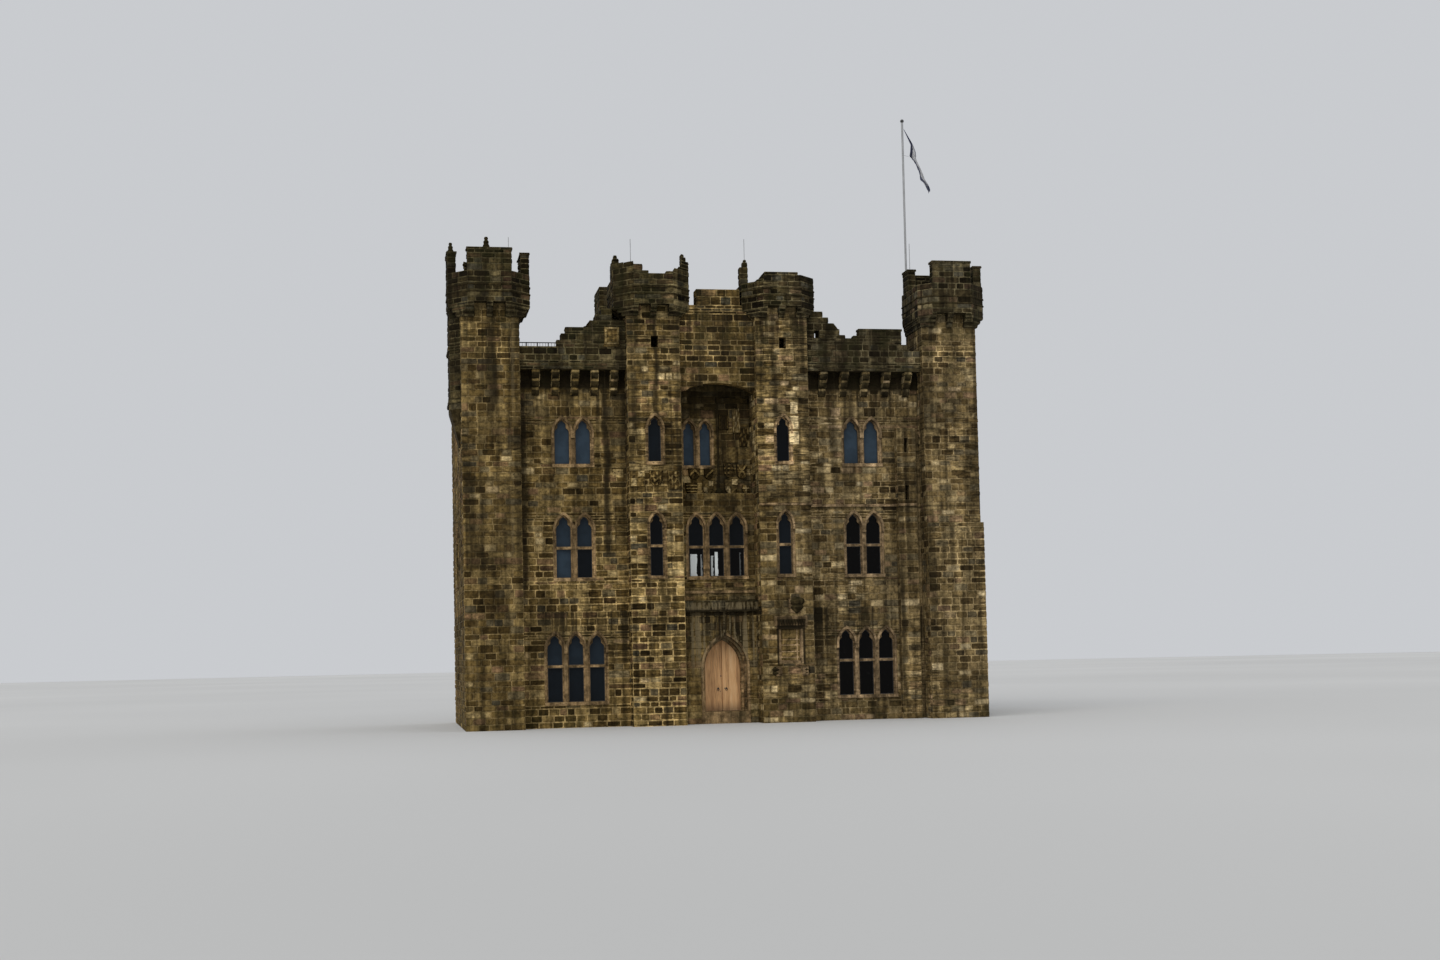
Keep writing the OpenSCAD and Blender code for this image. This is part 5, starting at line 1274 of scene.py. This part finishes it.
# Turned stones half sunk in the wall: a worn boss over the niche, two lumps at its feet
# and a slender shaft in the recess. Middle, wall, heights, and radii from foot to head.
TURNED_STONES = (
    (2.69, TURRET_FACE, np.linspace(4.35, 5.02, 9),
     (0.04, 0.14, 0.22, 0.29, 0.24, 0.31, 0.34, 0.29, 0.08)),
    (1.80, TURRET_FACE, np.linspace(1.84, 2.24, 7),
     (0.04, 0.11, 0.17, 0.13, 0.18, 0.15, 0.04)),
    (3.02, TURRET_FACE, np.linspace(1.85, 2.22, 7),
     (0.04, 0.11, 0.16, 0.13, 0.17, 0.14, 0.04)),
    (-0.08, CHAMBER_FACE, (9.25, 9.30, 9.40, 9.50, 9.55, 13.05, 13.09),
     (0.03, 0.13, 0.16, 0.10, 0.05, 0.05, 0.04)))


def add_turned_stones():
    """Rings of each stone's radii round an upright line on the wall's face."""
    made = Gathered()
    for x, wall, heights, radii in TURNED_STONES:
        path = [(x, wall, z) for z in heights]
        made.add(*tube(path, np.array(radii), 10))
    made.piece("corbel_stones", sooty_plain, slot="weathered_sandstone")


def add_niche_teeth():
    """A row of pyramids that hang point down from the niche's lintel."""
    left, right, count = 1.86, 3.00, 10
    point, head, proud, sunk, lean = 3.83, 4.12, 0.20, 0.02, 0.03
    front, back = TURRET_FACE - proud, TURRET_FACE + sunk
    edges = np.linspace(left, right, count + 1)
    made = Gathered()
    for a, b in zip(edges[:-1], edges[1:]):
        corners = [(a, front, head), (b, front, head), (b, back, head), (a, back, head),
                   ((a + b) / 2, front + lean, point)]
        made.add(corners, [[0, 1, 2, 3]], [[1, 0, 4], [2, 1, 4], [3, 2, 4], [0, 3, 4]])
    made.piece("niche_teeth", sooty_plain, slot="weathered_sandstone")


add_turned_stones()
add_niche_teeth()

# Ironwork

# Name, leaf, place across, height and radius of the lock and the keyhole plates.
DOOR_IRON = (("lock_rose", "leaf_left", -0.129, 1.90, 0.026),
             ("keyhole_left", "leaf_left", -0.16, 1.28, 0.018),
             ("keyhole_right", "leaf_right", 0.02, 1.40, 0.020))


def add_balusters():
    """Upright bars between the rail's foot and head on the left bay's roof."""
    rail_y, left, right, foot, head = -3.8, -8.22, -6.465, 14.92, 15.45
    count, radius = 14, 0.008
    made = Gathered()
    for x in np.linspace(left, right, count + 2)[1:-1]:
        made.add(*tube([(x, rail_y, z) for z in (foot, (foot + head) / 2, head)], radius, 6))
    made.piece("rail_balusters", iron, slot="iron")


def add_door_iron():
    """Flat discs on the boards, one round each keyhole and one for the lock."""
    board_face = -3.508
    for name, body, x, z, radius in DOOR_IRON:
        made = Gathered()
        path = [(x, board_face + away, z) for away in (0.006, -0.002, -0.007)]
        made.add(*tube(path, radius, 12))
        made.piece(name, iron, body=body, slot="iron")


add_balusters()
add_door_iron()

# Flag

FLAG_WIDTH, FLAG_LENGTH, FLAG_Y = 1.2, 2.75, -2.2
# How the cloth falls: distance from the hoist's upper corner, place across and height of
# its middle there, and how wide a quarter turn of the cloth lies.
FALL = np.array([
    (0, 8.61, 25.15, 0.02), (0.7, 8.96, 24.47, 0.10), (1.0, 9.00, 24.17, 0.24),
    (1.2, 8.99, 23.96, 0.30), (1.5, 9.14, 23.69, 0.17), (1.75, 9.25, 23.46, 0.20),
    (2.05, 9.36, 23.18, 0.35), (2.25, 9.41, 22.98, 0.50), (2.5, 9.56, 22.76, 0.38),
    (2.75, 9.67, 22.54, 0.30), (3.01, 9.70, 22.40, 0.12)])
# The two clips on the pole, from end to end: across and up.
CLIPS = (((8.57, 25.15), (8.625, 25.145)), ((8.57, 24.0), (8.80, 23.955)))


def add_clips():
    """Straight pins of 14 mm that hold the hoist to the pole."""
    made = Gathered()
    for start, end in CLIPS:
        path = [(x, FLAG_Y, z) for x, z in (start, np.add(start, end) / 2, end)]
        made.add(*tube(path, 0.007, 6))
    made.piece("flag_clips", pole_paint, slot="pole_paint")


def add_flag():
    """The flag hangs limp from the upper corner of its hoist. A point of the cloth lies
    as far down the fall as it was cut from that corner. Across the fall the cloth is
    pleated: its depth is a sine of 36 times the angle at that corner, and the sine's
    size is found so that each row is as long as the arc it was cut on."""
    rows, columns, waves, halvings = 70, 112, 36.0, 30
    far = math.hypot(FLAG_WIDTH, FLAG_LENGTH)
    reach = np.linspace(0.03, far - 0.02, rows)[:, None]
    least = np.arccos(np.minimum(1, FLAG_LENGTH / reach))
    most_turned = np.arcsin(np.minimum(1, FLAG_WIDTH / reach))
    angle = least + (most_turned - least) * np.linspace(0, 1, columns)[None]
    x, z, wide = (np.interp(reach, FALL[:, 0], FALL[:, i]) for i in (1, 2, 3))
    wide = wide / (math.pi / 2)
    low, high = np.zeros_like(reach), 0.2 * reach
    for _ in range(halvings):
        size = (low + high) / 2
        slope = size * waves * np.cos(waves * angle)
        run = np.sqrt(wide ** 2 + slope ** 2).mean(1, keepdims=True)
        low, high = np.where(run < reach, size, low), np.where(run < reach, high, size)
    points = np.stack([x + wide * ((least + most_turned) / 2 - angle),
                       FLAG_Y + size * np.sin(waves * angle), z + 0 * angle], axis=-1)
    piece = mesh_piece("flag_sheet", points.reshape(-1, 3), [grid_faces(rows, columns)],
                       flag_cloth, slot="flag_cloth", smooth=True)
    cut = np.ones((rows, columns, 4))
    cut[..., 0] = reach * np.cos(angle)
    cut[..., 1] = FLAG_WIDTH - reach * np.sin(angle)
    paint_points(piece, "cut", cut)
    thick = piece.modifiers.new("thickness", "SOLIDIFY")
    thick.thickness, thick.offset = 0.0016, 0.0
    add_clips()
    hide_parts("flag")


add_flag()

# The stage


def add_floor():
    """A plain pale floor: three flat rings of points, the widest 400 m away."""
    sides = 96
    ring = np.linspace(0, 2 * math.pi, sides + 1)[:-1]
    reach = np.array([60.0, 150.0, 400.0])[:, None]
    points = np.stack([reach * np.cos(ring), reach * np.sin(ring), 0 * reach + 0 * ring], axis=-1)
    material, tree, shader = new_material("pale_floor")
    tone = noise(tree, axes(tree)[0], 0.02, 2)
    colour = ramp(tree, tone, (0.3, (0.60, 0.60, 0.59)), (0.7, (0.66, 0.66, 0.65)))
    fill(tree, shader, Base_Color=colour, Roughness=0.9)
    mesh = bpy.data.meshes.new("floor")
    faces = grid_faces(len(reach), sides, False, True)[:, ::-1].tolist() + [list(range(sides))]
    mesh.from_pydata(points.reshape(-1, 3).tolist(), [], faces)
    mesh.materials.append(material)
    floor = bpy.data.objects.new("floor", mesh)
    bpy.context.scene.collection.objects.link(floor)


add_floor()
